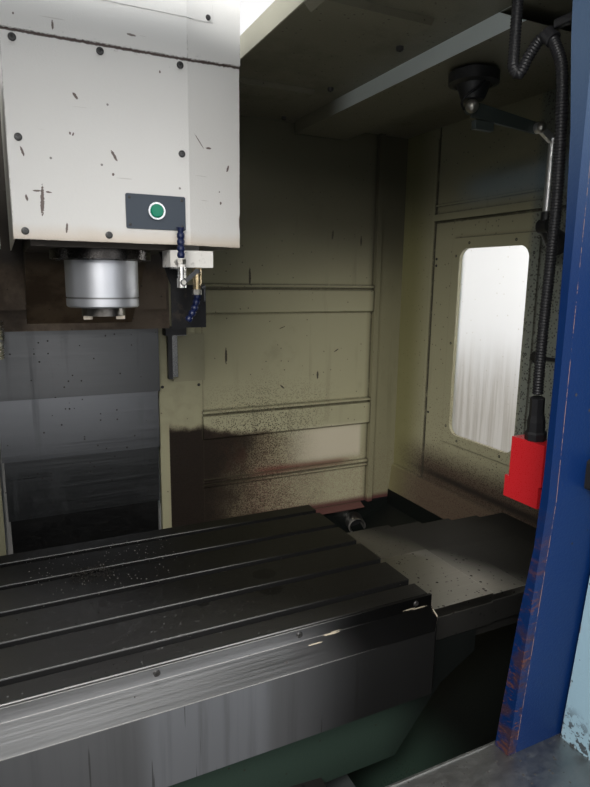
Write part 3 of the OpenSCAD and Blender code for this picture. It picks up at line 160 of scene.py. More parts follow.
def softBar(lo, hi, r=1.0):
    # rounded-rectangle profile carried along the bar's longest side, with its end rings drawn in by r
    lo, hi = np.asarray(lo, float), np.asarray(hi, float)
    size, mid = hi - lo, (lo + hi) / 2
    along = int(np.argmax(size))
    a, b = [(1, 2), (2, 0), (0, 1)][along]
    r = min(r, size[a] / 2 - 0.01, size[b] / 2 - 0.01)
    half = size[along] / 2
    steps = [(-half, r), (-half + 0.3 * r, 0.3 * r), (-half + r, 0.0)]
    steps = steps + [(-s, d) for s, d in steps[::-1]]
    rings = []
    for s, d in steps:
        ring = roundedRing(size[a] - 2 * d, size[b] - 2 * d, max(r - d, 0.02 * r))
        p = np.zeros((len(ring), 3))
        p[:, a], p[:, b], p[:, along] = ring[:, 0], ring[:, 1], s
        rings.append(p + mid)
    return loft(rings)


def smoothPath(points, count):
    # Catmull-Rom curve through the points, at even steps of its length
    p = np.asarray(points, float)
    p = np.concatenate([[2 * p[0] - p[1]], p, [2 * p[-1] - p[-2]]])
    fine = []
    t = np.linspace(0, 1, 24, endpoint=False)[:, None]
    for i in range(1, len(p) - 2):
        a, b, c, d = p[i - 1], p[i], p[i + 1], p[i + 2]
        square, cube = 2 * a - 5 * b + 4 * c - d, 3 * b - a - 3 * c + d
        fine.append(0.5 * (2 * b + (c - a) * t + square * t ** 2 + cube * t ** 3))
    fine = np.concatenate(fine + [p[-2][None]])
    run = np.concatenate([[0], np.cumsum(np.linalg.norm(np.diff(fine, axis=0), axis=1))])
    at = np.linspace(0, run[-1], count)
    return np.stack([np.interp(at, run, fine[:, k]) for k in range(3)], 1), run[-1]


def sweep(path, radius, sides=12):
    # circle of the given radius at each path point, carried without twist
    path = np.asarray(path, float)
    tangent = np.gradient(path, axis=0)
    tangent /= np.linalg.norm(tangent, axis=1)[:, None]
    u = frameFor(tangent[0])[0]
    us = []
    for t in tangent:  # the frame is carried from point to point
        u = u - t * np.dot(u, t)
        u /= np.linalg.norm(u)
        us.append(u)
    us = np.array(us)[:, None]
    vs = np.cross(tangent, us[:, 0])[:, None]
    a = np.linspace(0, 2 * np.pi, sides, endpoint=False)
    cos, sin = np.cos(a)[None, :, None], np.sin(a)[None, :, None]
    radius = np.broadcast_to(np.asarray(radius, float), (len(path),))
    return loft(path[:, None] + radius[:, None, None] * (cos * us + sin * vs))


screwHigh = {"button": 0.55, "cap": 1.1, "pan": 0.45}


def screwHeads(name, spots, axis, radius, body, finish, style="button"):
    # domed head with a hexagon socket; the same template stands at every spot
    u, v, w = frameFor(axis)
    t = np.linspace(0, 2 * np.pi, 18, endpoint=False)
    hexR = 0.44 * np.cos(np.pi / 6) / np.cos((t + np.pi / 6) % (np.pi / 3) - np.pi / 6)
    one = np.ones_like(t)
    high = screwHigh[style]
    rows = [(1.0 * one, 0.0), (1.0 * one, 0.55 * high), (0.86 * one, 0.88 * high), (0.62 * one, high),
            (hexR, high), (hexR, 0.45 * high)]
    rings = [[r * np.cos(t), r * np.sin(t), np.full_like(t, h)] for r, h in rows]
    rings = np.array(rings).transpose(0, 2, 1) * radius
    turned = rings[..., 0:1] * u + rings[..., 1:2] * v + rings[..., 2:3] * w
    return addPiece(name, [loft(turned + np.asarray(s, float)) for s in spots], body, finish, True, 35)


print("helpers ready")


class Graph:
    # a node tree, and the sums and noises that both the shader groups and the finishes are made of
    def __init__(self, tree):
        self.tree = tree

    def feed(self, socket, value):
        if hasattr(value, "is_output"):
            self.tree.links.new(value, socket)
        else:
            socket.default_value = value

    def node(self, kind, inputs=None):
        n = self.tree.nodes.new(kind)
        for label, value in (inputs or {}).items():
            self.feed(n.inputs[label], value)
        return n

    def math(self, op, a, b=None, clamp=False):
        n = self.node("ShaderNodeMath", {0: a} if b is None else {0: a, 1: b})
        n.operation, n.use_clamp = op, clamp
        return n.outputs[0]

    def plus(self, a, b):
        return self.math("ADD", a, b)

    def minus(self, a, b):
        return self.math("SUBTRACT", a, b)

    def both(self, a, *more):
        for b in more:
            a = self.math("MULTIPLY", a, b)
        return a

    def shaken(self, value, noise, amount, clamp=False):
        # moves a value to and fro by a noise that is centred first
        return self.math("ADD", value, self.both(self.minus(noise, 0.5), amount), clamp)

    def ramp(self, value, low, high):
        n = self.node("ShaderNodeMapRange", {"Value": value, "From Min": low, "From Max": high})
        n.interpolation_type = "SMOOTHSTEP"
        return n.outputs["Result"]

    def stretched(self, scale):
        return self.node("ShaderNodeMapping", {"Vector": self.pos, "Scale": scale}).outputs["Vector"]

    def noise(self, scale, detail, rough):
        # three scales stretch the noise, one leaves it round
        at = self.pos
        if isinstance(scale, tuple):
            at, scale = self.stretched(scale), 1.0
        inputs = {"Vector": at, "Scale": scale, "Detail": detail, "Roughness": rough}
        return self.node("ShaderNodeTexNoise", inputs).outputs["Fac"]


# shader groups
groups = {}


class Group(Graph):
    # a shader group that takes a position and some numbers, and gives one mask unless told otherwise
    def __init__(self, name, outs=("Mask",), **numbers):
        groups[name] = bpy.data.node_groups.new(name, "ShaderNodeTree")
        super().__init__(groups[name])
        self.socket("Position", "INPUT", "Vector")
        for label, value in numbers.items():
            self.socket(label, "INPUT", "Float").default_value = value
        for label in outs:
            self.socket(label, "OUTPUT", "Float")
        self.given = self.node("NodeGroupInput").outputs
        self.taken = self.node("NodeGroupOutput").inputs
        self.pos = self.given["Position"]

    def socket(self, label, way, kind):
        return self.tree.interface.new_socket(name=label, in_out=way, socket_type="NodeSocket" + kind)

    def cut(self, value, top, share, soft):
        # the larger Amount is, the lower the value from which the mask is 1
        low = self.minus(top, self.both(self.given["Amount"], share))
        return self.ramp(value, low, self.plus(low, soft))

    def give(self, *values):
        for k, value in enumerate(values):
            self.feed(self.taken[k], value)


def buildStains():
    # broad uneven stains: two noises mixed, then cut by Amount
    g = Group("blotches", Scale=6.0, Amount=0.5)
    broad = g.noise(g.given["Scale"], 5.0, 0.6)
    small = g.noise(g.both(g.given["Scale"], 4.3), 4.0, 0.65)
    g.give(g.cut(g.plus(g.both(broad, 0.65), g.both(small, 0.35)), 0.75, 0.5, 0.14))
    # vertical streaks of dried coolant: noise drawn out along Z
    g = Group("runs", Amount=0.5)
    streak = g.cut(g.noise((26, 26, 1.6), 4.0, 0.6), 0.74, 0.42, 0.12)
    g.give(g.both(streak, g.ramp(g.noise((3, 3, 2.2), 3.0, 0.5), 0.42, 0.62)))
    # small separate dots: distance to scattered points, each kept or dropped by its own random value
    g = Group("specks", Scale=90.0, Size=0.2, Amount=0.4)
    v = g.node("ShaderNodeTexVoronoi", {"Vector": g.pos, "Scale": g.given["Scale"]})
    pick = g.node("ShaderNodeSeparateColor", {"Color": v.outputs["Color"]})
    dot = g.math("LESS_THAN", v.outputs["Distance"], g.given["Size"])
    g.give(g.both(dot, g.math("LESS_THAN", pick.outputs["Red"], g.given["Amount"])))


def buildGrains():
    # fine paint or metal grain, and brushing lines that the vector fed in stretches; value and height
    g = Group("grain", ("Value", "Height"), Scale=400.0, Depth=0.1)
    fine = g.noise(g.given["Scale"], 3.0, 0.6)
    g.give(fine, g.both(fine, g.given["Depth"]))
    g = Group("brushed", ("Value", "Height"), Depth=0.1)
    lines = g.noise(1.0, 4.0, 0.7)
    g.give(lines, g.both(lines, g.given["Depth"]))


def buildEdges():
    # a softened normal that departs from the true one marks an edge; noise breaks the line up
    g = Group("edgeWear", Radius=0.003, Amount=0.5)
    bevel = g.node("ShaderNodeBevel", {"Radius": g.given["Radius"]})
    bevel.samples = 4
    flat = g.node("ShaderNodeNewGeometry")
    dot = g.node("ShaderNodeVectorMath", {0: bevel.outputs["Normal"], 1: flat.outputs["Normal"]})
    dot.operation = "DOT_PRODUCT"
    edge = g.ramp(g.minus(1.0, dot.outputs["Value"]), 0.02, 0.10)
    g.give(g.both(edge, g.cut(g.noise(38.0, 5.0, 0.7), 0.72, 0.4, 0.08)))
    # painted shade in inward corners: nearby surface seen within a short reach darkens the point
    g = Group("creaseShade", Radius=0.008)
    ao = g.node("ShaderNodeAmbientOcclusion", {"Distance": g.given["Radius"]})
    ao.samples, ao.only_local = 6, True
    shade = g.minus(1.0, g.ramp(ao.outputs["AO"], 0.50, 0.95))
    g.give(g.both(shade, g.ramp(g.noise(24.0, 4.0, 0.6), 0.18, 0.48)))


def buildPlaces():
    # 1 where a height lies below Level, fading over Soft, its edge pushed about by noise
    g = Group("band", Height=0.0, Level=0.5, Soft=0.1, Ragged=0.05)
    high = g.shaken(g.given["Height"], g.noise(9.0, 5.0, 0.62), g.given["Ragged"])
    top = g.plus(g.given["Level"], g.given["Soft"])
    g.give(g.minus(1.0, g.ramp(high, g.given["Level"], top)))
    # one elongated chip: an ellipse in X and Z, leaning and with a torn rim
    g = Group("mark", CentreX=0.0, CentreZ=1.6, HalfX=0.004, HalfZ=0.01, Lean=0.0)
    at = g.node("ShaderNodeSeparateXYZ", {0: g.pos}).outputs
    dz = g.minus(at["Z"], g.given["CentreZ"])
    dx = g.minus(g.minus(at["X"], g.given["CentreX"]), g.both(dz, g.given["Lean"]))
    u, w = (g.math("POWER", g.math("ABSOLUTE", g.math("DIVIDE", d, g.given[half])), 2.0)
            for d, half in ((dx, "HalfX"), (dz, "HalfZ")))
    g.give(g.minus(1.0, g.ramp(g.shaken(g.plus(u, w), g.noise(320.0, 3.0, 0.7), 2.6), 0.8, 1.1)))


buildStains()
buildGrains()
buildEdges()
buildPlaces()
print("shader groups:", len(groups))

toMetres = {"x": lambda mm: mm / 1000.0, "y": yAt, "z": zAt}


class Finish(Graph):
    # one material under construction: colour layers go on in order, then roughness, metal and bump
    def __init__(self, name, color, rough, metal=0.0):
        self.mat = bpy.data.materials.new(name)
        self.mat.use_nodes = True
        super().__init__(self.mat.node_tree)
        self.bsdf = self.tree.nodes["Principled BSDF"]
        self.pos = self.node("ShaderNodeTexCoord").outputs["Object"]
        self.x, self.y, self.z = self.node("ShaderNodeSeparateXYZ", {0: self.pos}).outputs
        self.color = self.node("ShaderNodeRGB").outputs[0]
        self.color.default_value = (*color, 1)
        self.rough, self.metal, self.height = rough, metal, None

    def use(self, group, *values, pos=None):
        # the values go to the group's numbers in their order
        n = self.node("ShaderNodeGroup")
        n.node_tree = groups[group]
        for socket, value in zip(n.inputs, (self.pos if pos is None else pos, *values)):
            self.feed(socket, value)
        return n.outputs

    def mask(self, group, *values, pos=None):
        return self.use(group, *values, pos=pos)[0]

    def mix(self, mask, old, new, sockets, kind="FLOAT"):
        n = self.node("ShaderNodeMix")
        n.data_type = kind
        for k, value in zip((0, *sockets), (mask, old, new)):
            self.feed(n.inputs[k], value)
        return n.outputs[sockets[0] - 2 if kind == "FLOAT" else 2]

    def layer(self, mask, color=None, rough=None, metal=None, strength=1.0):
        # mask lays a second colour, roughness or metal over what is there
        if strength != 1.0:
            mask = self.both(mask, strength)
        if color is not None:
            self.color = self.mix(mask, self.color, (*color, 1), (6, 7), "RGBA")
        if rough is not None:
            self.rough = self.mix(mask, self.rough, rough, (2, 3))
        if metal is not None:
            self.metal = self.mix(mask, self.metal, metal, (2, 3))
        return self

    def vary(self, value, amount):
        # moves the roughness to and fro
        self.rough = self.shaken(self.rough, value, amount, True)
        return self

    def grain(self, vary, scale, depth):
        # fine relief that also moves the roughness
        g = self.use("grain", scale, depth)
        return self.vary(g["Value"], vary).bump(g["Height"])

    def bump(self, height):
        self.height = height if self.height is None else self.plus(self.height, height)
        return self

    def bounds(self, value, *bounds):
        # a letter stands for a coordinate, and its bounds are in mm from the datum
        if isinstance(value, str):
            return getattr(self, value), *(toMetres[value](mm) for mm in bounds)
        return value, *bounds

    def up(self, value, low, high):
        return self.ramp(*self.bounds(value, low, high))

    def down(self, value, low, high):
        return self.minus(1.0, self.up(value, low, high))

    def within(self, value, low, high, soft=0.0005):
        # 1 where a coordinate lies between two planes
        value, low, high = self.bounds(value, low, high)
        rise, fall = self.ramp(value, low - soft, low + soft), self.ramp(value, high - soft, high + soft)
        return self.math("SUBTRACT", rise, fall, True)

    def absolute(self, a):
        return self.math("ABSOLUTE", a)

    def done(self, distance=0.001, gloss=0.5):
        b = self.bsdf.inputs
        b["Specular IOR Level"].default_value = gloss
        for value, label in ((self.color, "Base Color"), (self.rough, "Roughness"), (self.metal, "Metallic")):
            self.feed(b[label], value)
        if self.height is not None:
            n = self.node("ShaderNodeBump", {"Distance": distance, "Height": self.height})
            self.feed(b["Normal"], n.outputs["Normal"])
        return self.mat


# finishes
tones = {
    "offWhite": (0.62, 0.605, 0.578), "olive": (0.4, 0.378, 0.245), "paleBlue": (0.225, 0.335, 0.395),
    "doorBlue": (0.002, 0.014, 0.064), "panGreen": (0.036, 0.062, 0.047), "bedGrey": (0.075, 0.085, 0.085),
    "rustLight": (0.2, 0.075, 0.03), "grime": (0.035, 0.028, 0.02), "bare": (0.42, 0.41, 0.4),
}


def darker(tone, share):
    return tuple(c * share for c in tone)


def paintFinish(name, tone, rough=0.38, stains=0.35, specks=0.25, wear=0.4, wearTone="bare", lowGrime=None, runs=0.4):
    f = Finish(name, tone, rough)
    broad = f.mask("blotches", 3.0, stains)
    f.layer(broad, darker(tone, 0.72), rough + 0.18, strength=0.6)
    f.layer(f.mask("runs", runs), tuple(0.6 * c + 0.4 * g for c, g in zip(tone, tones["grime"])), rough + 0.15,
            strength=0.55)
    if lowGrime:
        low, soft, ragged = lowGrime
        f.layer(f.mask("band", f.z, low, soft, ragged), tones["grime"], 0.7, strength=0.75)
    f.layer(f.mask("specks", 70.0, 0.16, specks), tones["grime"], 0.8, strength=0.7)
    if wear:
        f.layer(f.mask("edgeWear", 0.003, wear), tones[wearTone], 0.35, 0.6)
    return f.grain(0.25, 260.0, 0.35)


def steelFinish(name, tone, rough=0.32, along=(4, 420, 420), stains=0.5, specks=0.4, speckScale=110.0, depth=0.25,
                bandTone=None):
    f = Finish(name, tone, rough, 1.0)
    lines = f.use("brushed", depth, pos=f.stretched(along))
    f.vary(lines["Value"], 0.35).bump(lines["Height"])
    f.layer(f.mask("blotches", 4.0, stains), darker(tone, 0.45), rough + 0.2, strength=0.75)
    f.layer(f.mask("blotches", 17.0, stains * 0.7), bandTone or darker(tone, 0.7), rough + 0.1,
            strength=0.6)
    f.layer(f.mask("specks", speckScale, 0.22, specks), (0.03, 0.025, 0.02), 0.7, 0.2, strength=0.9)
    return f


def shadeAndSootAbove(f, low, high, strength):
    # painted shade under the roof, with oil mist, darkens the paint from one height upwards
    mist = f.up(f.plus(f.z, f.both(f.noise(2.2, 3.0, 0.5), 0.12)), zAt(low) + 0.06, zAt(high) + 0.06)
    return f.layer(mist, (0.045, 0.042, 0.03), 0.5, strength=strength)


def rearWallFinish():
    # olive paint; splashed brown low down at the left, thinning to a spray of dots and then to clear paint
    f = paintFinish("rearWallPaint", tones["olive"], 0.42, 0.4, 0.12, 0.25, "rustLight", runs=0.45)
    ax = f.absolute(f.x)
    slope = f.plus(f.z, f.both(f.minus(ax, 0.27), 0.16))
    low = f.mask("band", slope, zAt(92), 0.03, 0.08)
    inside = f.up(ax, 0.267, 0.27)
    wander = f.shaken(ax, f.noise(5.0, 4.0, 0.6), 0.35)
    full = f.down(wander, 0.4, 0.68)
    part = f.down(wander, 0.58, 0.92)
    soil = f.both(low, inside)
    tint = f.mask("blotches", 6.0, 0.5)
    f.layer(f.both(soil, part), (0.13, 0.075, 0.045), 0.6, strength=0.55)
    f.layer(f.both(soil, part, f.mask("specks", 240.0, 0.5, 0.7)), (0.05, 0.016, 0.01), 0.8, strength=0.75)
    f.layer(f.both(soil, full), (0.009, 0.0045, 0.0025), 0.75, strength=0.97)
    f.layer(f.both(soil, full, f.both(tint, f.up(wander, 0.36, 0.5))), (0.04, 0.013, 0.008), 0.75, strength=0.8)
    spray = f.both(f.mask("band", f.z, zAt(40), 0.26, 0.22), f.down(wander, 0.62, 0.95))
    f.layer(f.both(spray, f.up(ax, 0.36, 0.46), f.mask("specks", 190.0, 0.42, 0.8)), (0.03, 0.02, 0.01), 0.8,
            strength=0.85)
    far = f.up(wander, 0.5, 0.62)
    line = f.both(f.within("z", -97, -80, 0.014), f.both(far, f.down(ax, 0.9, 1.0)))
    f.layer(f.both(line, f.up(wander, 0.5, 0.7)), (0.115, 0.014, 0.011), 0.6, strength=0.9)
    dust = f.both(f.down("z", -125, 30), f.both(far, f.mask("specks", 300.0, 0.5, 0.7)))
    f.layer(dust, (0.22, 0.12, 0.1), 0.7, strength=0.45)
    # painted shade: darker towards the corner with the side wall
    f.layer(f.up(ax, 1.015, 1.045), (0.15, 0.138, 0.078), 0.5, strength=0.65)
    foot = f.both(f.down("z", -262, -238), far)
    f.layer(foot, (0.085, 0.02, 0.024), 0.6, strength=0.9)
    pale = f.both(f.within("z", -75, 50, 0.02), f.up(ax, 0.66, 0.85), f.down(ax, 1.0, 1.02))
    f.layer(pale, (0.68, 0.61, 0.48), 0.4, strength=0.75)
    for x, z, lean, long in ((0.868, 743, 0.1, 0.016), (0.986, 727, 0.0, 0.018), (0.555, 593, 0.0, 0.03),
                             (0.469, 331, 0.0, 0.028), (0.676, 422, 2.5, 0.004), (0.819, 246, 0.0, 0.014),
                             (0.895, 334, 1.5, 0.006), (0.678, 212, -1.0, 0.007)):
        f.layer(f.mask("mark", x, zAt(z), 0.004, long, lean), (0.03, 0.024, 0.018), 0.7, strength=0.9)
    # painted shade in the inward corners of the wall
    f.layer(f.mask("creaseShade", 0.009), (0.045, 0.038, 0.022), 0.7, strength=0.85)
    # painted shade towards the roof, with oil mist
    shadeAndSootAbove(f, 450, 800, 0.84)
    outside = f.up("y", 578, 579)
    f.layer(outside, tones["paleBlue"], 0.4)
    return f.done(gloss=0.3)


def sideWallFinish():
    # olive inside and pale blue outside; brown mist on the sloped foot; painted shade towards the rear corner and
    # towards the roof, with soot near the roof; a painted bluish reflection high up
    f = paintFinish("sideWallPaint", darker(tones["olive"], 0.98), 0.4, 0.4, 0.1, 0.25, "rustLight",
                    runs=0.35)
    # painted shade: darker, less blue olive towards the rear corner
    f.layer(f.up("y", 370, 500), (0.22, 0.205, 0.075), 0.45, strength=0.75)
    near = f.down("y", 320, 600)
    wash = f.both(f.down("z", -80, 35), near)
    f.layer(wash, (0.055, 0.031, 0.023), 0.5, strength=0.9)
    f.layer(f.both(wash, f.mask("specks", 230.0, 0.5, 0.6)), (0.03, 0.012, 0.01), 0.7, strength=0.8)
    ledge = f.both(f.within("z", -112, -88, 0.012), f.down("y", 240, 540))
    f.layer(ledge, (0.013, 0.01, 0.008), 0.6, strength=0.92)
    foot = f.both(f.down("z", -140, -132), f.plus(0.35, f.both(near, 0.5)))
    f.layer(foot, (0.115, 0.082, 0.055), 0.5, strength=0.8)
    mist = f.mask("band", f.z, zAt(20), 0.35, 0.3)
    f.layer(f.both(mist, near, f.mask("specks", 220.0, 0.36, 0.4)), (0.06, 0.02, 0.018), 0.8, strength=0.7)
    cool = f.both(f.down("y", -72, -40), f.up("z", -10, 60))
    f.layer(cool, (0.16, 0.195, 0.2), 0.4, strength=0.7)
    f.layer(f.both(cool, f.mask("specks", 150.0, 0.5, 0.55)), (0.035, 0.03, 0.028), 0.6, strength=0.8)
    # painted shade in the inward corners of the wall
    f.layer(f.mask("creaseShade", 0.014), (0.04, 0.034, 0.022), 0.7, strength=0.95)
    # painted shade towards the roof, with oil mist
    shadeAndSootAbove(f, 700, 900, 0.5)
    # painted reflection: a bluish sheen on the upper wall
    sheen = f.both(f.within("z", 835, 915, 0.035), f.down("y", 130, 330))
    f.layer(sheen, (0.19, 0.26, 0.32), 0.35, strength=0.6)
    outside = f.math("MAXIMUM", f.up(f.absolute(f.x), 1.196, 1.197), f.up("z", 1096, 1097))
    outside = f.math("MAXIMUM", outside, f.up("y", 580, 581))
    f.layer(outside, tones["paleBlue"], 0.42)
    return f.bump(f.use("grain", 900.0, 0.25)["Height"]).done()


def roofFinish():
    # near-black oil film underneath, with the cut edges left clean; the beam's flank painted pale as light falling on
    # it
    f = paintFinish("roofPaint", (0.145, 0.135, 0.096), 0.42, 0.5, 0.25, 0.3, "rustLight", runs=0.2)
    # painted light: the beam's flank made pale blue-grey where light falls on it
    litBeamFlank = f.within(f.absolute(f.x), 0.7042, 0.7058, 0.0004)
    litBeamFlank = f.both(litBeamFlank, f.down("y", 150, 320))
    f.layer(litBeamFlank, (0.8, 0.87, 0.86), 0.35, strength=0.95)
    above = f.up("z", 1096, 1097)
    f.layer(above, tones["paleBlue"], 0.45)
    lip = f.within(f.absolute(f.x), 0.3494, 0.3532, 0.0003)
    return f.layer(f.both(lip, f.up("z", 1094.5, 1095)), (0.42, 0.41, 0.32), 0.4).done()


def buildDoorWear(f, ax):
    # folded strip along the leading edge, painted a darker blue as shade, with a thin broken worn line, scratched rusty
    # in its lower half
    near = f.down(ax, 0.455, 0.4558)
    # painted shade: the leading edge strip darker than the face
    f.layer(near, (0.0015, 0.013, 0.06), 0.45, strength=0.8)
    low = f.mask("band", f.z, zAt(-40), 0.42, 0.12)
    scuff = f.noise((34, 34, 120), 4.0, 0.75)
    soft = f.noise((22, 22, 30), 3.0, 0.6)
    f.layer(f.both(low, near, f.up(soft, 0.46, 0.62)), (0.03, 0.014, 0.016), 0.6, strength=0.8)
    f.layer(f.both(low, near, f.up(scuff, 0.565, 0.6)), (0.075, 0.027, 0.017), 0.6, strength=0.85)
    broken = f.noise((40, 40, 55), 4.0, 0.75)
    f.layer(f.both(f.within(ax, 0.4551, 0.4559, 0.0003), f.up(broken, 0.42, 0.52)), (0.24, 0.135, 0.085), 0.6,
            strength=0.9)


def doorFinish():
    # deep blue, rubbed to orange-brown along its folds, chipped and stained low down
    f = paintFinish("doorBluePaint", tones["doorBlue"], 0.36, 0.25, 0.1, 0.0, "rustLight", runs=0.3)
    ax = f.absolute(f.x)
    buildDoorWear(f, ax)
    hazy = f.up("z", 560, 900)
    f.layer(hazy, (0.048, 0.075, 0.115), 0.35, strength=0.8)
    grip = f.both(f.up(f.both(f.y, -1.0), 1.1112, 1.1118), f.within("z", 306, 353))
    f.layer(grip, (0.012, 0.012, 0.013), 0.45)
    hang = f.up("z", 1091, 1092)
    f.layer(hang, (0.35, 0.35, 0.36), 0.35, 0.9)
    return f.done(gloss=0.15)


# knocks in the cover's paint: X, Z, half width, half height in mm, lean
coverMarks = [(-118, 716, 3.2, 26, 0.06), (-126, 732, 7, 1.6, 0.4), (-107, 731, 5, 1.5, -0.5), (-54, 896, 3.0, 6, -0.6),
              (8, 803, 3.0, 9, -0.5), (5, 770, 2.5, 2.5, 0), (-85, 1003, 1.8, 8, 0.0), (-61, 832, 1.6, 3, 0.3),
              (-66, 833, 1.6, 2.4, 0.0), (-143, 719, 2.2, 6, -0.2), (-145, 795, 2.0, 8, -0.3), (191, 836, 6, 2, 0),
              (217, 735, 2.4, 3, 0), (46, 1010, 8, 2.0, -1.2), (-80, 671, 2, 9, 0.1), (234, 803, 2.5, 6, 0.3),
              (171, 845, 1.2, 12, -0.8), (-145, 1010, 1.5, 2, 0), (96, 957, 1.5, 2.5, 0), (262, 700, 2, 14, 0)]


def headCoverFinish():
    # off-white sheet: rusty seam under the upper panel, a few knocks and hair scratches, soiled lower hem, painted
    # light making the top paler
    f = paintFinish("headCoverPaint", tones["offWhite"], 0.36, 0.18, 0.02, 0.0, "grime",
                    lowGrime=(zAt(640), 0.018, 0.02), runs=0.2)
    hem = f.mask("band", f.z, zAt(652), 0.03, 0.03)
    f.layer(hem, (0.52, 0.42, 0.31), 0.5, strength=0.55)
    scratch = f.noise((5, 5, 120), 2.0, 0.9)
    f.layer(f.up(scratch, 0.715, 0.73), (0.34, 0.31, 0.28), 0.5, strength=0.5)
    f.layer(f.mask("edgeWear", 0.0025, 0.7), (0.1, 0.07, 0.05), 0.6, strength=0.9)
    rise = f.both(f.math("MAXIMUM", f.minus(f.x, 0.1485), 0.0), 0.105)
    lineZ = f.minus(f.z, rise)
    flakes = f.both(f.within(lineZ, zAt(979), zAt(994), 0.004), f.mask("blotches", 95.0, 0.36))
    f.layer(flakes, (0.06, 0.028, 0.018), 0.6, strength=0.9)
    seam = f.within(f.shaken(lineZ, f.noise(150.0, 4.0, 0.7), 0.006), zAt(983), zAt(987.6), 0.0008)
    f.layer(seam, (0.035, 0.014, 0.009), 0.7, strength=0.95)
    for x, z, w, h, lean in coverMarks:
        f.layer(f.mask("mark", x / 1000, zAt(z), w / 1000, h / 1000, lean), (0.075, 0.045, 0.033), 0.6, strength=0.92)
    # painted light: the cover paler towards the top
    f.layer(f.up("z", 1000, 1060), (0.84, 0.83, 0.8), 0.36, strength=0.8)
    back = f.up("y", -120, 40)
    return f.layer(back, (0.5, 0.49, 0.42), 0.4, strength=0.4).done()


def headCastingFinish():
    # paint that coolant has turned brown, almost bare near the spindle; painted shade darkens it above the flange
    f = paintFinish("headCastingPaint", (0.15, 0.105, 0.065), 0.5, 0.5, 0.3, 0.3, "bare", runs=0.4)
    f.layer(f.mask("blotches", 3.5, 0.65), (0.056, 0.034, 0.019), 0.6, strength=0.8)
    # painted shade: near black from about 600 mm up
    f.layer(f.up("z", 588, 636), (0.015, 0.012, 0.009), 0.6, strength=0.85)
    above = f.up("z", 1060, 1100)
    return f.layer(above, tones["offWhite"], 0.45, strength=0.5).done()


def tableFinish():
    # oily machined iron, near black, with painted shade to the rear and right, a painted sheen at the front left, slot
    # edges rubbed bright and shown as painted highlights where light falls, slot walls and sides painted dark as shade
    f = steelFinish("tableIron", (0.064, 0.061, 0.059), 0.4, (7, 300, 300), 0.45, 0.1, 160.0, 0.2, (0.058, 0.05, 0.042))
    # painted shade: darker towards the rear and towards the right
    f.layer(f.up("y", -360, -60), (0.013, 0.012, 0.01), 0.44, strength=0.78)
    f.layer(f.up(f.x, 0.1, 0.46), (0.022, 0.021, 0.018), 0.44, strength=0.6)
    # painted sheen: paler grey at the front left, where the light falls
    near = f.down(f.plus(f.y, f.both(f.x, 0.7)), yAt(-460), yAt(-200))
    f.layer(near, (0.34, 0.335, 0.335), 0.36, strength=0.68)
    flat = f.node("ShaderNodeCombineXYZ", {0: f.x, 2: f.y})
    for x, y, w in ((0.245, -308, 0.026), (0.233, -372, 0.024), (0.1, -365, 0.013), (0.03, -250, 0.012)):
        f.layer(f.mask("mark", x, yAt(y), w, w * 0.8, pos=flat.outputs[0]), (0.012, 0.011, 0.01), 0.5, strength=0.6)
    # bright slot edges: rubbed metal, painted as a highlight only on the lit left part
    turnY = f.math("FRACT", f.both(f.minus(f.y, yAt(-497)), 10.0))
    lit = f.plus(0.05, f.both(f.down(f.x, 0.1, 0.36), 0.95))
    rim = f.math("MAXIMUM", f.within(turnY, 0.47, 0.545, 0.01), f.down("y", -503, -499))
    f.layer(f.both(f.mask("edgeWear", 0.0035, 1.6), f.both(rim, lit)), (0.46, 0.455, 0.44), 0.36, 0.35)
    # painted shade: slot walls and sides below the top near black
    side = f.down("z", -3, -1.5)
    return f.layer(side, (0.006, 0.006, 0.006), 0.8, 0.0, strength=0.97).done(gloss=0.05)


def apronFinish():
    # stainless apron: a painted highlight on the fold line along its top where light falls, soft vertical runs, painted
    # shade darkening it towards the right end
    f = steelFinish("apronSteel", (0.42, 0.42, 0.425), 0.34, (3, 260, 260), 0.0, 0.02, 90.0, 0.05, (0.39, 0.385, 0.38))
    drip = f.noise((34, 34, 1.3), 4.0, 0.6)
    face = f.down("z", -48, -46)
    thin = f.noise((95, 95, 2.2), 3.0, 0.6)
    # the vertical face painted darker than the top strip as shade, and lighter in its middle as painted light
    f.layer(face, (0.09, 0.091, 0.094), 0.42, 0.35)
    f.layer(f.both(face, f.within(f.x, -0.045, 0.15, 0.018)), (0.15, 0.155, 0.165), 0.42, 0.35, strength=0.85)
    f.layer(f.both(face, f.up(drip, 0.48, 0.7)), (0.06, 0.06, 0.061), 0.5, strength=0.5)
    f.layer(f.both(face, f.up(thin, 0.64, 0.67)), (0.016, 0.015, 0.014), 0.6, 0.2, strength=0.7)
    unlit = f.up(f.shaken(f.x, f.noise(3.0, 2.0, 0.5), 0.1), 0.15, 0.36)
    f.layer(unlit, (0.008, 0.0078, 0.0075), 0.45, strength=0.96)
    # painted highlight: the fold bright only on the lit left part
    lit = f.down(f.x, 0.18, 0.4)
    fold = f.both(f.mask("edgeWear", 0.0025, 1.2), f.up("z", -60, -56))
    f.layer(f.both(fold, lit), (0.66, 0.64, 0.61), 0.32, 0.5)
    for x, z, w, h in ((0.286, -24.5, 0.016, 0.0009), (0.296, -22.5, 0.012, 0.0008), (0.25, -29, 0.014, 0.0006),
                       (0.455, -20.0, 0.014, 0.0014), (0.478, -22.0, 0.018, 0.0014), (0.505, -38, 0.0025, 0.012)):
        f.layer(f.mask("mark", x, zAt(z), w, h), (0.55, 0.48, 0.36), 0.45, 0.2, strength=0.85)
    return f.done()


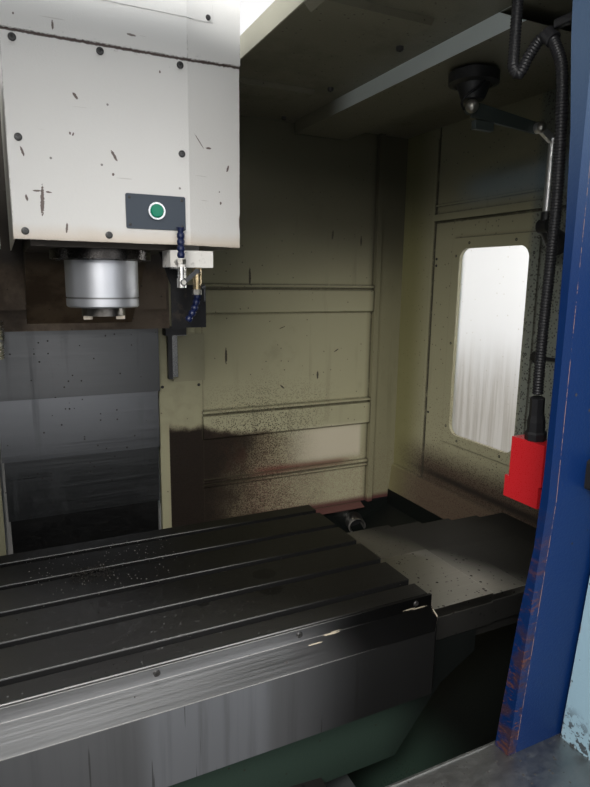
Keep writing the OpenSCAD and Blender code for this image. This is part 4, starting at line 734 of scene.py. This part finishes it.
def xPlateFinish():
    # way cover sheet: beige oily steel, edges rubbed and painted bright as highlights, painted shade towards the walls,
    # the rear and on the skirts
    f = steelFinish("xPlateSteel", (0.25, 0.238, 0.208), 0.38, (5, 240, 240), 0.22, 0.0, 85.0, 0.15,
                    (0.18, 0.165, 0.135))
    f.layer(f.mask("specks", 80.0, 0.26, 0.16), (0.02, 0.016, 0.012), 0.7, 0.2, strength=0.95)
    f.layer(f.mask("specks", 150.0, 0.28, 0.07), (0.03, 0.025, 0.02), 0.7, 0.2, strength=0.9)
    # painted shade in the inward corners, such as the contact line under each plate's wiper
    f.layer(f.mask("creaseShade", 0.02), (0.02, 0.017, 0.013), 0.7, 0.3, strength=0.9)
    # bright plate edges: partly rubbed, partly a painted highlight
    f.layer(f.mask("edgeWear", 0.0022, 0.9), (0.5, 0.48, 0.43), 0.35, 0.5, strength=0.7)
    # painted shadow: near black towards the right wall and the rear, where the door's edge shades the covers
    far = f.plus(f.absolute(f.x), f.both(f.minus(f.y, yAt(-450)), 0.55))
    # painted shade: the rear part of the plates darker
    f.layer(f.up("y", -226, -218), (0.075, 0.068, 0.048), 0.5, 0.6, strength=0.8)
    f.layer(f.up(far, 0.76, 0.9), (0.008, 0.0075, 0.0065), 0.6, 0.1, strength=0.97)
    # painted shade: the front part and the skirts below near black
    skirt = f.math("MINIMUM", f.up("y", -490, -487), f.up("z", -99, -96))
    skirt = f.minus(1.0, skirt)
    return f.layer(skirt, (0.008, 0.008, 0.008), 0.6, 0.0, strength=0.95).done(gloss=0.2)


def panFinish():
    # oily green paint, black with painted shadow towards the rear and the sides
    f = paintFinish("panPaint", tones["panGreen"], 0.28, 0.4, 0.3, 0.2, runs=0.3)
    # painted shadow: near black towards the rear and the sides
    panShadow = f.math("MAXIMUM", f.up("y", -390, -230), f.up(f.absolute(f.x), 0.56, 0.74))
    return f.layer(panShadow, (0.002, 0.002, 0.002), 0.5, strength=0.95).done(gloss=0.3)


def saddleFinish():
    # same green as the pan, darkened as painted shade, black at the ends as painted shadow
    f = paintFinish("saddlePaint", (0.031, 0.05, 0.039), 0.5, 0.3, 0.2, 0.2)
    # painted shadow: near black at the ends
    return f.layer(f.up(f.absolute(f.x), 0.42, 0.58), (0.0045, 0.005, 0.005), 0.6, strength=0.96).done(gloss=0.2)


def frameFinish():
    # pale blue surround, knocked down to dark primer above the sill
    f = paintFinish("paleBluePaint", tones["paleBlue"], 0.42, 0.3, 0.2, 0.5, "rustLight", runs=0.3)
    low = f.mask("band", f.z, zAt(-92), 0.05, 0.06)
    low = f.both(low, f.both(f.within(f.absolute(f.x), 0.54, 0.552, 0.004), f.up("z", -113, -112)))
    chipped = f.up(f.noise(75.0, 4.0, 0.7), 0.5, 0.53)
    return f.layer(f.both(low, chipped), (0.025, 0.022, 0.022), 0.6, strength=0.9).done(gloss=0.35)


def sillFinish():
    f = steelFinish("sillSteel", (0.3, 0.3, 0.29), 0.42, (60, 60, 60), 0.45, 0.3, 120.0, 0.3)
    return f.layer(f.mask("edgeWear", 0.003, 0.8), (0.42, 0.42, 0.41), 0.35, 1.0, strength=0.15).done()


def zPlateFinish(name, tone, stains):
    f = steelFinish(name, tone, 0.36, (3, 3, 230), stains, 0.12, 80.0, 0.18)
    f.layer(f.mask("runs", 0.5), darker(tone, 0.6), 0.5, 0.8, strength=0.7)
    return f.done()


def fittingsFinish():
    # white block above, brass and nickel valves below it, dark guard plate at the back
    f = Finish("fittingsMetal", (0.42, 0.33, 0.2), 0.3, 1.0)
    nickel = f.mask("blotches", 60.0, 0.5)
    f.layer(nickel, (0.55, 0.54, 0.52), 0.28, 1.0)
    f.layer(f.down(f.x, 0.15, 0.152), (0.58, 0.57, 0.55), 0.3, 1.0)
    white = f.up("z", 606.6, 607)
    f.layer(white, (0.66, 0.64, 0.6), 0.42, 0.0)
    plate = f.up("y", -45, -44)
    f.layer(plate, (0.009, 0.009, 0.01), 0.5, 0.2)
    f.layer(f.mask("blotches", 22.0, 0.4), (0.05, 0.04, 0.03), 0.7, 0.2, strength=0.6)
    return f.grain(0.3, 500.0, 0.3).done(gloss=0.15)


def plainPlastic(name, tone, rough=0.35, depth=0.2, dust=0.3, gloss=0.5):
    f = Finish(name, tone, rough)
    f.layer(f.mask("blotches", 30.0, dust), tuple(0.75 * c + 0.03 for c in tone), rough + 0.25, strength=0.6)
    f.layer(f.mask("edgeWear", 0.0015, 0.35), tuple(min(1, c * 1.5 + 0.05) for c in tone), rough, strength=0.6)
    return f.grain(0.3, 900.0, depth).done(0.0005, gloss)


def glassFinish():
    # clear pane under a dried film that thickens to streaks in the lower half
    f = Finish("windowGlass", (0.74, 0.735, 0.72), 0.3)
    lower = f.mask("band", f.z, zAt(150), 0.3, 0.1)
    f.layer(lower, (0.52, 0.485, 0.43), 0.36, strength=0.85)
    streak = f.noise((1, 55, 1.8), 5.0, 0.7)
    f.layer(f.both(lower, f.up(streak, 0.42, 0.62)), (0.38, 0.35, 0.3), 0.4, strength=0.8)
    f.layer(f.mask("specks", 45.0, 0.1, 0.3), (0.4, 0.36, 0.28), 0.4, strength=0.7)
    mat = f.done()
    f.bsdf.inputs["Transmission Weight"].default_value = 1.0
    f.bsdf.inputs["IOR"].default_value = 1.45
    return mat


def threadFinish():
    # ball screw: ground steel with thread bands every 10 mm
    f = steelFinish("screwSteel", (0.55, 0.55, 0.56), 0.22, (90, 90, 90), 0.3, 0.1)
    wave = f.node("ShaderNodeTexWave", {"Vector": f.pos, "Scale": 30.0})
    wave.bands_direction = "DIAGONAL"
    f.bump(f.both(wave.outputs["Fac"], 2.0))
    return f.layer(wave.outputs["Fac"], (0.25, 0.22, 0.16), 0.4, 1.0, strength=0.5).done(0.002)


def zoneFinish(name, baseTone, rough, metal, zones, stains=0.4, gloss=0.5):
    # one node of several finishes: each zone is (mask maker, colour, roughness, metal)
    f = Finish(name, baseTone, rough, metal)
    for maker, tone, r, m in zones:
        f.layer(maker(f), tone, r, m)
    f.layer(f.mask("blotches", 18.0, stains), tones["grime"], 0.7, 0.1, strength=0.45)
    return f.grain(0.25, 500.0, 0.12).done(gloss=gloss)


mats = {
    "bed": paintFinish("bedPaint", tones["bedGrey"], 0.45, 0.5, 0.4, 0.3).done(),
    "machine": paintFinish("machinePaint", tones["offWhite"], 0.4, 0.35, 0.2, 0.3).done(),
    "rearWall": rearWallFinish(),
    "sideWall": sideWallFinish(),
    "roof": roofFinish(),
    "saddle": saddleFinish(),
    "paleBlue": frameFinish(),
    "cabinet": paintFinish("cabinetPaint", darker(tones["paleBlue"], 0.9), 0.45, 0.2, 0.1, 0.3).done(),
    "door": doorFinish(),
    "headCover": headCoverFinish(),
    "headCasting": headCastingFinish(),
    "pan": panFinish(),
    "table": tableFinish(),
    "apron": apronFinish(),
    "sill": sillFinish(),
    "xPlate": xPlateFinish(),
    "yPlate": steelFinish("yPlateSteel", (0.3, 0.29, 0.27), 0.36, (240, 5, 240), 0.6, 0.5).done(),
    "zPlate1": zPlateFinish("zPlateSteel1", (0.135, 0.137, 0.14), 0.22),
    "zPlate2": zPlateFinish("zPlateSteel2", (0.225, 0.232, 0.245), 0.2),
    "zPlate3": zPlateFinish("zPlateSteel3", (0.15, 0.155, 0.16), 0.4),
    "fixedPlates": steelFinish("fixedPlateSteel", (0.06, 0.06, 0.061), 0.4, (40, 40, 200), 0.5, 0.3).done(),
    "ground": steelFinish("groundSteel", (0.5, 0.5, 0.51), 0.25, (8, 8, 300), 0.3, 0.1).done(),
    "screwShaft": threadFinish(),
    "spindleSleeve": zoneFinish("spindleSteel", (0.49, 0.5, 0.53), 0.46, 0.85,
                                [(lambda f: f.up("z", 618, 620), (0.045, 0.042, 0.04), 0.28, 1.0),
                                 (lambda f: f.within("z", 541, 544.5), (0.2, 0.2, 0.2), 0.5, 0.8)], 0.1),
    "rotor": zoneFinish("rotorSteel", (0.16, 0.15, 0.14), 0.35, 1.0,
                        [(lambda f: f.within("z", 494, 504.5), (0.43, 0.38, 0.31), 0.3, 1.0)], 0.5),
    "black": plainPlastic("matteBlack", (0.011, 0.011, 0.012), 0.5),
    "darkSteel": plainPlastic("darkEnamel", (0.021, 0.022, 0.024), 0.42),
    "armGrey": plainPlastic("armEnamel", (0.04, 0.05, 0.046), 0.45, 0.3, 0.4),
    "rubber": plainPlastic("blackRubber", (0.008, 0.008, 0.009), 0.42, 0.4, 0.1, 0.25),
    "red": zoneFinish("redPlastic", (0.4, 0.012, 0.016), 0.3, 0.0,
                      [(lambda f: f.up(f.x, 0.5345, 0.535), (0.25, 0.25, 0.24), 0.4, 0.9),
                       (lambda f: f.up("z", 353, 353.5), (0.012, 0.012, 0.013), 0.4, 0.0)], 0.1),
    "redButton": plainPlastic("redButton", (0.6, 0.015, 0.015), 0.3, 0.1, 0.1),
    "green": plainPlastic("greenPlastic", (0.0, 0.19, 0.105), 0.3, 0.1, 0.0, 0.3),
    "lampSteel": zoneFinish("lampSteel", (0.62, 0.62, 0.62), 0.35, 0.85, [], 0.1),
    "blueHose": plainPlastic("blueHose", (0.003, 0.008, 0.042), 0.38, 0.1, 0.0, 0.4),
    "buttonPlate": zoneFinish("buttonPlateFace", (0.045, 0.056, 0.072), 0.4, 0.0,
                              [(lambda f: f.up(f.both(f.y, -1.0), 0.4635, 0.464), (0.45, 0.46, 0.46), 0.25, 1.0)], 0.1,
                              0.25),
    "fittings": fittingsFinish(),
    "glass": glassFinish(),
    "limitSwitch": zoneFinish("limitSwitchBody", (0.02, 0.02, 0.022), 0.5, 0.0,
                              [(lambda f: f.both(f.within(f.x, 0.278, 0.4), f.down("z", 409.5, 410)), (0.5, 0.5, 0.5),
                                0.28, 1.0),
                               (lambda f: f.both(f.up("y", 545, 549), f.down("z", 409.2, 409.5)),
                                darker(tones["olive"], 0.8), 0.5, 0.0)], 0.3),
    "panel": zoneFinish("controlPanelFace", (0.16, 0.17, 0.18), 0.5, 0.0,
                        [(lambda f: f.both(f.within(f.x, 0.75, 1.03), f.within("z", 610, 850),
                                           f.up(f.y, -1.1725, -1.172)), (0.008, 0.01, 0.012), 0.12, 0.0),
                         (lambda f: f.up(f.both(f.y, -1.0), 1.1757, 1.176), (0.48, 0.49, 0.5), 0.45, 0.0)], 0.1),
    "screwBlack": plainPlastic("screwBlack", (0.02, 0.019, 0.018), 0.35),
    "screwZinc": zoneFinish("screwZinc", (0.48, 0.46, 0.42), 0.32, 1.0, [], 0.5),
    "chip": zoneFinish("swarf", (0.055, 0.05, 0.044), 0.35, 0.9, [], 0.3),
}

# finish: the nodes that have it
wears = {
    "bed": "base_casting", "machine": "column magazine_frame", "rearWall": "rear_walls", "sideWall": "side_walls",
    "roof": "roof",
    "saddle": "saddle", "paleBlue": "front_frame", "cabinet": "electrical_cabinet cabinet_door",
    "door": "right_door left_door",
    "headCover": "head_cover", "headCasting": "head_casting", "pan": "chip_pan", "table": "table",
    "apron": "table_apron",
    "sill": "front_sill chip_drawer", "xPlate": "saddle_cover_plates x_cover_1 x_cover_2 x_cover_3 x_cover_4",
    "yPlate": "y_cover_2 y_cover_3", "zPlate1": "z_cover_1", "zPlate2": "z_cover_2", "zPlate3": "z_cover_3",
    "fixedPlates": "fixed_cover_plates", "ground": "machine_rails x_rails change_arm",
    "screwShaft": "x_screw y_screw z_screw",
    "spindleSleeve": "spindle_housing", "rotor": "spindle_rotor",
    "black": "axis_motors spindle_motor lamp_base lamp_head",
    "darkSteel": "levelling_feet magazine_disc upper_valve_lever lower_valve_lever", "armGrey": "lamp_arm",
    "rubber": "conduit",
    "red": "interlock_switch", "redButton": "emergency_button", "green": "push_button", "lampSteel": "lamp_tube",
    "blueHose": "coolant_nozzles", "buttonPlate": "button_plate", "fittings": "coolant_fittings",
    "limitSwitch": "limit_switch",
    "glass": "window_panes right_door_window left_door_window", "panel": "control_panel",
}
finishOf = {name: mats[finish] for finish, names in wears.items() for name in names.split()}
for nodeName, obj in nodes.items():
    obj.data.materials.clear()
    obj.data.materials.append(finishOf[nodeName])
print("finishes on", len(finishOf), "nodes")

# conduit
conduit = {"points": [(487, -640, 1094), (487, -640, 990), (487, -640, 905), (485, -644, 884), (489, -652, 876),
                      (493, -663, 896), (497, -678, 913), (499, -692, 912), (500, -706, 890), (500, -716, 863),
                      (502, -720, 807), (506, -720, 749), (508, -720, 688), (507, -720, 643), (506, -720, 590),
                      (504, -720, 518), (504, -720, 455), (506, -719, 425)],
           "radius": 7.6, "rib": 0.8, "pitch": 4.2, "perRib": 4, "sides": 12,
           "clip": ([(9.4, -9), (10.6, -8), (10.6, 8), (9.4, 9)], (499, -692, 912), (0.05, -0.7, -0.7), 24),
           "clipFoot": ((494, -750, 918), (504, -700, 930), 2.0),
           "gland": ([(12.6, 0), (15.5, 1), (15.5, 12), (13.0, 15), (12.8, 30), (10.6, 40), (10.4, 66), (8.2, 67)],
                     (516, -713.5, 353.5), (-0.12, -0.06, 1), 8)}


def makeConduit():
    # ribbed hose: the radius swells and falls once in every rib pitch along the route
    length = smoothPath(conduit["points"], 90)[1]
    count = int(length / conduit["pitch"]) * conduit["perRib"]
    path, length = smoothPath(conduit["points"], count)
    run = np.linspace(0, length, count)
    radius = conduit["radius"] + conduit["rib"] * np.sin(2 * np.pi * run / conduit["pitch"])
    hose = addPiece("conduitRibs", [sweep(path, radius, conduit["sides"])], "machine", "rubber", True)
    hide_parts("conduit")
    clip = [lathe(*conduit["clip"]), softBar(*conduit["clipFoot"])]
    addPiece("conduitClip", clip, "machine", "rubber", True, 35)
    addPiece("conduitGland", [lathe(*conduit["gland"])], "machine", "rubber")


makeConduit()
print("conduit made")

# head details: front faces at Y -160 (lower panel), -161.6 (upper panel) and -163 (hatch, button plate)
head = {"screws": [(-149, 974), (-9, 975), (134, 974), (-150, 818), (134, 818), (-149, 663), (-7, 662)], "screwR": 6.5,
        "plate": (25, 676, 113, 63), "inset": 7, "front": -160, "hatchY": -163,
        "flange": {"bolts": 8, "radius": 90, "z": 621},
        "nuts": [([(9.4, 0), (10.4, 1), (10.4, 11), (9.4, 12)], (177, -100, 551), (0, 0, 1), 6),
                 ([(8.6, 0), (9.6, 1), (9.6, 9), (8.6, 10)], (125, -172, 612), (0, 0, 1), 6),
                 ([(5.0, 0), (5.6, 1), (5.6, 7), (4.6, 8)], (125, -182, 577), (0, -1, 0), 6)]}


def makeUpperPanel():
    # it laps over the lower panel and stays flat where that one is folded; a plate closes its corner
    front = softBar((-168.8, -161.6, 987.8), (148.5, -160.0, 1149), 0.6)
    slant = loft([[(148.2, -161.6, a), (263.8, -131.2, b), (263.0, -129.8, b), (147.8, -160.1, a)]
                  for a, b in ((987.8, 1000), (1149, 1149))])
    wing = softBar((262.2, -131.5, 1000), (263.8, 379, 1149), 0.6)
    addPiece("upperPanel", [front, slant, wing], "head", "headCover")
    hatch = softBar((-120, -163.0, 1057), (148.5, -161.5, 1149), 0.4)
    flap = loft([[(148.2, -163.0, z), (202.4, -148.8, z), (202.0, -147.4, z), (147.8, -161.6, z)]
                 for z in (1057, 1149)])
    flap[0][1:3, 2] += 5  # its lower edge climbs with the fold
    addPiece("coverHatch", [hatch, flap], "head", "headCover")


def makeHeadBits():
    forward, down = (0, -1, 0), (0, 0, -1)
    screwHeads("coverScrews", [(x, head["front"], z) for x, z in head["screws"]], forward, head["screwR"], "head",
               "screwBlack")
    (x, z, w, h), inset = head["plate"], head["inset"]
    corners = [(x + a, head["hatchY"], z + b) for a in (inset, w - inset) for b in (inset, h - inset)]
    screwHeads("plateScrews", corners, forward, 2.8, "head", "screwBlack", "pan")
    makeUpperPanel()
    screwHeads("hatchScrew", [(192, -151.5, 1068), (-112, -163, 1068)], forward, 5.0, "head", "screwBlack")
    ring = head["flange"]
    turns = np.arange(ring["bolts"]) * np.pi / 4 + np.pi / 8
    bolts = [(ring["radius"] * math.cos(a), ring["radius"] * math.sin(a), ring["z"]) for a in turns]
    screwHeads("flangeBolts", bolts, down, 5.0, "head", "screwBlack")
    # nickel nuts and white cap on the valves
    addPiece("valveNuts", [lathe(*nut) for nut in head["nuts"]], "head", "screwZinc")


makeHeadBits()
print("head details made")

# wall, roof and apron fastenings
fastenings = {"apronX": [-470, -263, -19, 225, 469], "rimY": (-56 - 17, 238 + 17), "rimZ": (70 - 17, 693 + 17),
              "roof": [(638, -138), (642, 186), (652, 510)]}


def makeFastenings():
    screwHeads("apronScrews", [(x, -512, -11) for x in fastenings["apronX"]], (0, -1, 0), 5.5, "table", "screwBlack")
    (y0, y1), (z0, z1) = fastenings["rimY"], fastenings["rimZ"]
    spots = [(y, z) for y in (y0 + 70, y1 - 60) for z in (z0, z1)]
    spots += [(y, z) for y in (y0, y1) for z in (z0 + 40, (z0 + z1) / 2, z1 - 40)]
    for side, word in ((1, "Right"), (-1, "Left")):
        inward = (-side, 0, 0)
        screwHeads("rimScrews" + word, [(side * 1168, y, z) for y, z in spots], inward, 5.0, "machine", "screwBlack")
        screwHeads("trimScrews" + word, [(side * 1172, 361, z) for z in (663, 640, 120)], inward, 4.5, "machine",
                   "screwBlack")
    roofSpots = [(x, y, 1095) for x, y in fastenings["roof"]]
    screwHeads("roofBolts", roofSpots, (0, 0, -1), 8.5, "machine", "screwBlack", "cap")
    rearSpots = [(x, 554, z) for x in (250, 371) for z in (940, 620, 240)]
    screwHeads("rearBolts", rearSpots, (0, -1, 0), 5.0, "machine", "screwBlack")


makeFastenings()
print("fastenings made")

# wall knob, lamp joints and cable, drain
smallThings = {"knob": (-111, 378), "knobR": 17, "cableR": 2.6,
               "balls": {"lampBall": ((789, -211, 975), 15, "lamp_arm"),
                         "elbowBall": ((1000, -217, 953), 13, "lamp_tube")},
               "cable": [(806, -240, 1046), (797, -243, 1026), (779, -236, 1006), (763, -222, 992), (760, -210, 978),
                         (771, -206, 966)],
               "drain": ((989, 560, -339), (-0.25, -1, -0.1), 28),
               "tube": [(27, 0), (34, 1), (34, 60), (30, 61), (30, 6), (27, 5)], "bore": [(29.5, 12), (29.5, 14)]}


def makeSmallThings():
    (y, z), r = smallThings["knob"], smallThings["knobR"]
    disc = lathe([(r * 0.8, 0), (r, 3), (r, 9), (r * 0.8, 13), (r * 0.5, 14)], (1172, y, z), (-1, 0, 0), 24)
    bar = softBar((1158, y - 78, z - 4), (1166, y - 6, z + 5), 2.5)
    addPiece("wallKnob", [disc, bar], "machine", "black", True, 35)
    t = np.linspace(0.02, np.pi / 2 + 0.6, 9)
    for name, (spot, r, body) in smallThings["balls"].items():
        dome = lathe(np.stack([r * np.sin(t), r * np.cos(t)], 1), spot, (0, -1, 0), 24)
        addPiece(name, [dome], body, "screwZinc", True)
    addPiece("lampBracket", [softBar((806, -207, 930), (862, -193, 950), 1.5)], "lamp_arm", "armGrey")
    cable = smoothPath(smallThings["cable"], 40)[0]
    addPiece("lampCable", [sweep(cable, smallThings["cableR"], 8)], "machine", "rubber", True)
    seals = [softBar((side * 1091 - 81, 563.5, -278), (side * 1091 + 81, 568, -265), 1.5) for side in (1, -1)]
    addPiece("wallSeals", seals, "machine", "rubber")
    # bent drain pipe behind the covers, held by the rear wall
    addPiece("drainPipe", [lathe(smallThings["tube"], *smallThings["drain"])], "machine", "screwZinc", True, 35)
    addPiece("drainBore", [lathe(smallThings["bore"], *smallThings["drain"])], "machine", "black", True, 35)


makeSmallThings()
print("small things made")

# swarf: how many, low and high corner, height, body, seed, sizes, drift line and its spread, finish
swarf = {
    "tableSwarf": (420, (-490, -500), (490, -12), 0, "table", 7, (0.8, 2.2)),
    "tablePile": (300, (-112, -200), (-34, -128), 0, "table", 8, (2.0, 6.0), (-165, 14)),
    "brightSwarf": (170, (-190, -260), (110, -40), 0, "table", 12, (0.9, 2.4), None, "screwZinc"),
    "coverSwarf": (110, (505, -450), (716, -62), -76, "table", 9, (1.5, 4.0)),
    "sillSwarf": (40, (-420, -880), (420, -824), -110, "machine", 11),
}
chip = {"steps": 5, "thick": 0.0003, "lift": 0.15}


def chipCloud(name, count, lo, hi, z, body, seed, size=(2.0, 6.0), drift=None, finish="chip"):
    # short curled ribbons: each is an arc of a few quads with its own turn, size and spot
    rng = np.random.default_rng(seed)
    steps = chip["steps"]
    turn = rng.uniform(1.5, 5.0, count)
    r = (rng.uniform(0.25, 0.5, count) * rng.uniform(*size, count))[:, None]
    wide = rng.uniform(0.5, 1.4, count)[:, None]
    angle = np.linspace(0, 1, steps)[None] * turn[:, None]
    tilt = rng.uniform(0, 0.9, count)[:, None]
    spin = rng.uniform(0, 2 * np.pi, count)[:, None]
    x = rng.uniform(lo[0], hi[0], count)[:, None]
    y = rng.uniform(lo[1], hi[1], count)
    if drift is not None:  # half of the chips gather along a line
        keep = rng.uniform(0, 1, count) < 0.5
        y = np.clip(np.where(keep, drift[0] + rng.normal(0, drift[1], count), y), lo[1], hi[1])
    y = y[:, None]
    across, along = r * np.cos(angle), r * np.sin(angle)
    points = []
    for side in (-0.5, 0.5):
        px = across * np.cos(tilt) + side * wide * np.sin(tilt)
        pz = np.abs(across * np.sin(tilt)) + (side + 0.5) * wide * np.cos(tilt)
        gx = px * np.cos(spin) - along * np.sin(spin) + x
        gy = px * np.sin(spin) + along * np.cos(spin) + y
        points.append(np.stack([gx, gy, pz + z + chip["lift"]], -1))
    i, j = np.meshgrid(np.arange(count), np.arange(steps - 1), indexing="ij")
    b = (i * steps + j) * 2
    faces = np.stack([b, b + 1, b + 3, b + 2], -1).reshape(-1, 4).tolist()
    obj = addPiece(name, [(np.stack(points, 2).reshape(-1, 3), faces)], body, finish, True)
    obj.modifiers.new("thick", "SOLIDIFY").thickness = chip["thick"]


for swarfName, settings in swarf.items():
    chipCloud(swarfName, *settings)
print("swarf made")

# stage and lights
stage = {"floorTone": (0.80, 0.80, 0.79), "floorSize": 9.0, "skyTone": (0.92, 0.95, 1.0), "skyLight": 0.50}
lamps = {  # spot, aim, size, power, colour
    "frontSoft": ((-1200, -2400, 1750), (0, -200, 300), (1.6, 1.2), 120, (1.0, 0.98, 0.95)),
    "frontRight": ((1300, -2900, 1700), (0, 0, 300), (1.8, 1.4), 30, (0.93, 0.96, 1.0)),
    "overHead": ((0, -300, 2600), (0, 0, 500), (2.5, 2.5), 22),
    "sideRight": ((2700, 100, 900), (1172, 90, 380), (1.6, 1.4), 60),
    "backSoft": ((-1800, 3200, 1500), (0, 1200, 300), (2.4, 2.0), 35),
    "outsideCard": ((2750, 1650, 200), (1172, 90, 380), (3.0, 3.0), 9),
}
headSpot = {"spot": (-500, -2500, 1150), "aim": (30, -160, 900), "power": 12, "cone": 18, "blend": 0.7, "soft": 0.25}


def makeStage():
    s = stage["floorSize"]
    mesh = bpy.data.meshes.new("floor")
    mesh.from_pydata([(-s, -s, 0), (s, -s, 0), (s, s, 0), (-s, s, 0)], [], [(0, 1, 2, 3)])
    floor = bpy.data.objects.new("floor", mesh)
    bpy.context.scene.collection.objects.link(floor)
    f = Finish("floorPaint", stage["floorTone"], 0.6)
    mesh.materials.append(f.vary(f.use("grain", 60.0, 0.1)["Value"], 0.1).done())
    # the world lights the scene softly, and is plain white where it is seen, mirrored or looked through to
    world = bpy.data.worlds.new("studio")
    bpy.context.scene.world = world
    world.use_nodes = True
    g = Graph(world.node_tree)
    dim = world.node_tree.nodes["Background"]
    dim.inputs["Color"].default_value = (*stage["skyTone"], 1)
    dim.inputs["Strength"].default_value = stage["skyLight"]
    white = g.node("ShaderNodeBackground", {"Color": (1, 1, 1, 1), "Strength": 1.0})
    ray = g.node("ShaderNodeLightPath").outputs
    seen = g.math("MAXIMUM", g.math("MAXIMUM", ray["Is Camera Ray"], ray["Is Glossy Ray"]), ray["Is Transmission Ray"])
    mix = g.node("ShaderNodeMixShader", {0: seen, 1: dim.outputs[0], 2: white.outputs[0]})
    g.feed(world.node_tree.nodes["World Output"].inputs["Surface"], mix.outputs[0])


def aimLamp(data, spot, aim):
    p, q = place(spot), place(aim)
    u, v, w = frameFor((p - q) / np.linalg.norm(p - q))
    putAt(bpy.data.objects.new(data.name, data), u, v, w, p)


def addLamps():
    for name, (spot, aim, size, power, *tone) in lamps.items():
        data = bpy.data.lights.new(name, "AREA")
        data.shape = "RECTANGLE"
        data.size, data.size_y = size
        data.energy = power
        data.color = tone[0] if tone else (1, 1, 1)
        aimLamp(data, spot, aim)
    data = bpy.data.lights.new("headSpot", "SPOT")
    data.energy, data.spot_size = headSpot["power"], math.radians(headSpot["cone"])
    data.spot_blend, data.shadow_soft_size = headSpot["blend"], headSpot["soft"]
    aimLamp(data, headSpot["spot"], headSpot["aim"])


makeStage()
addLamps()
print("stage and lights made")
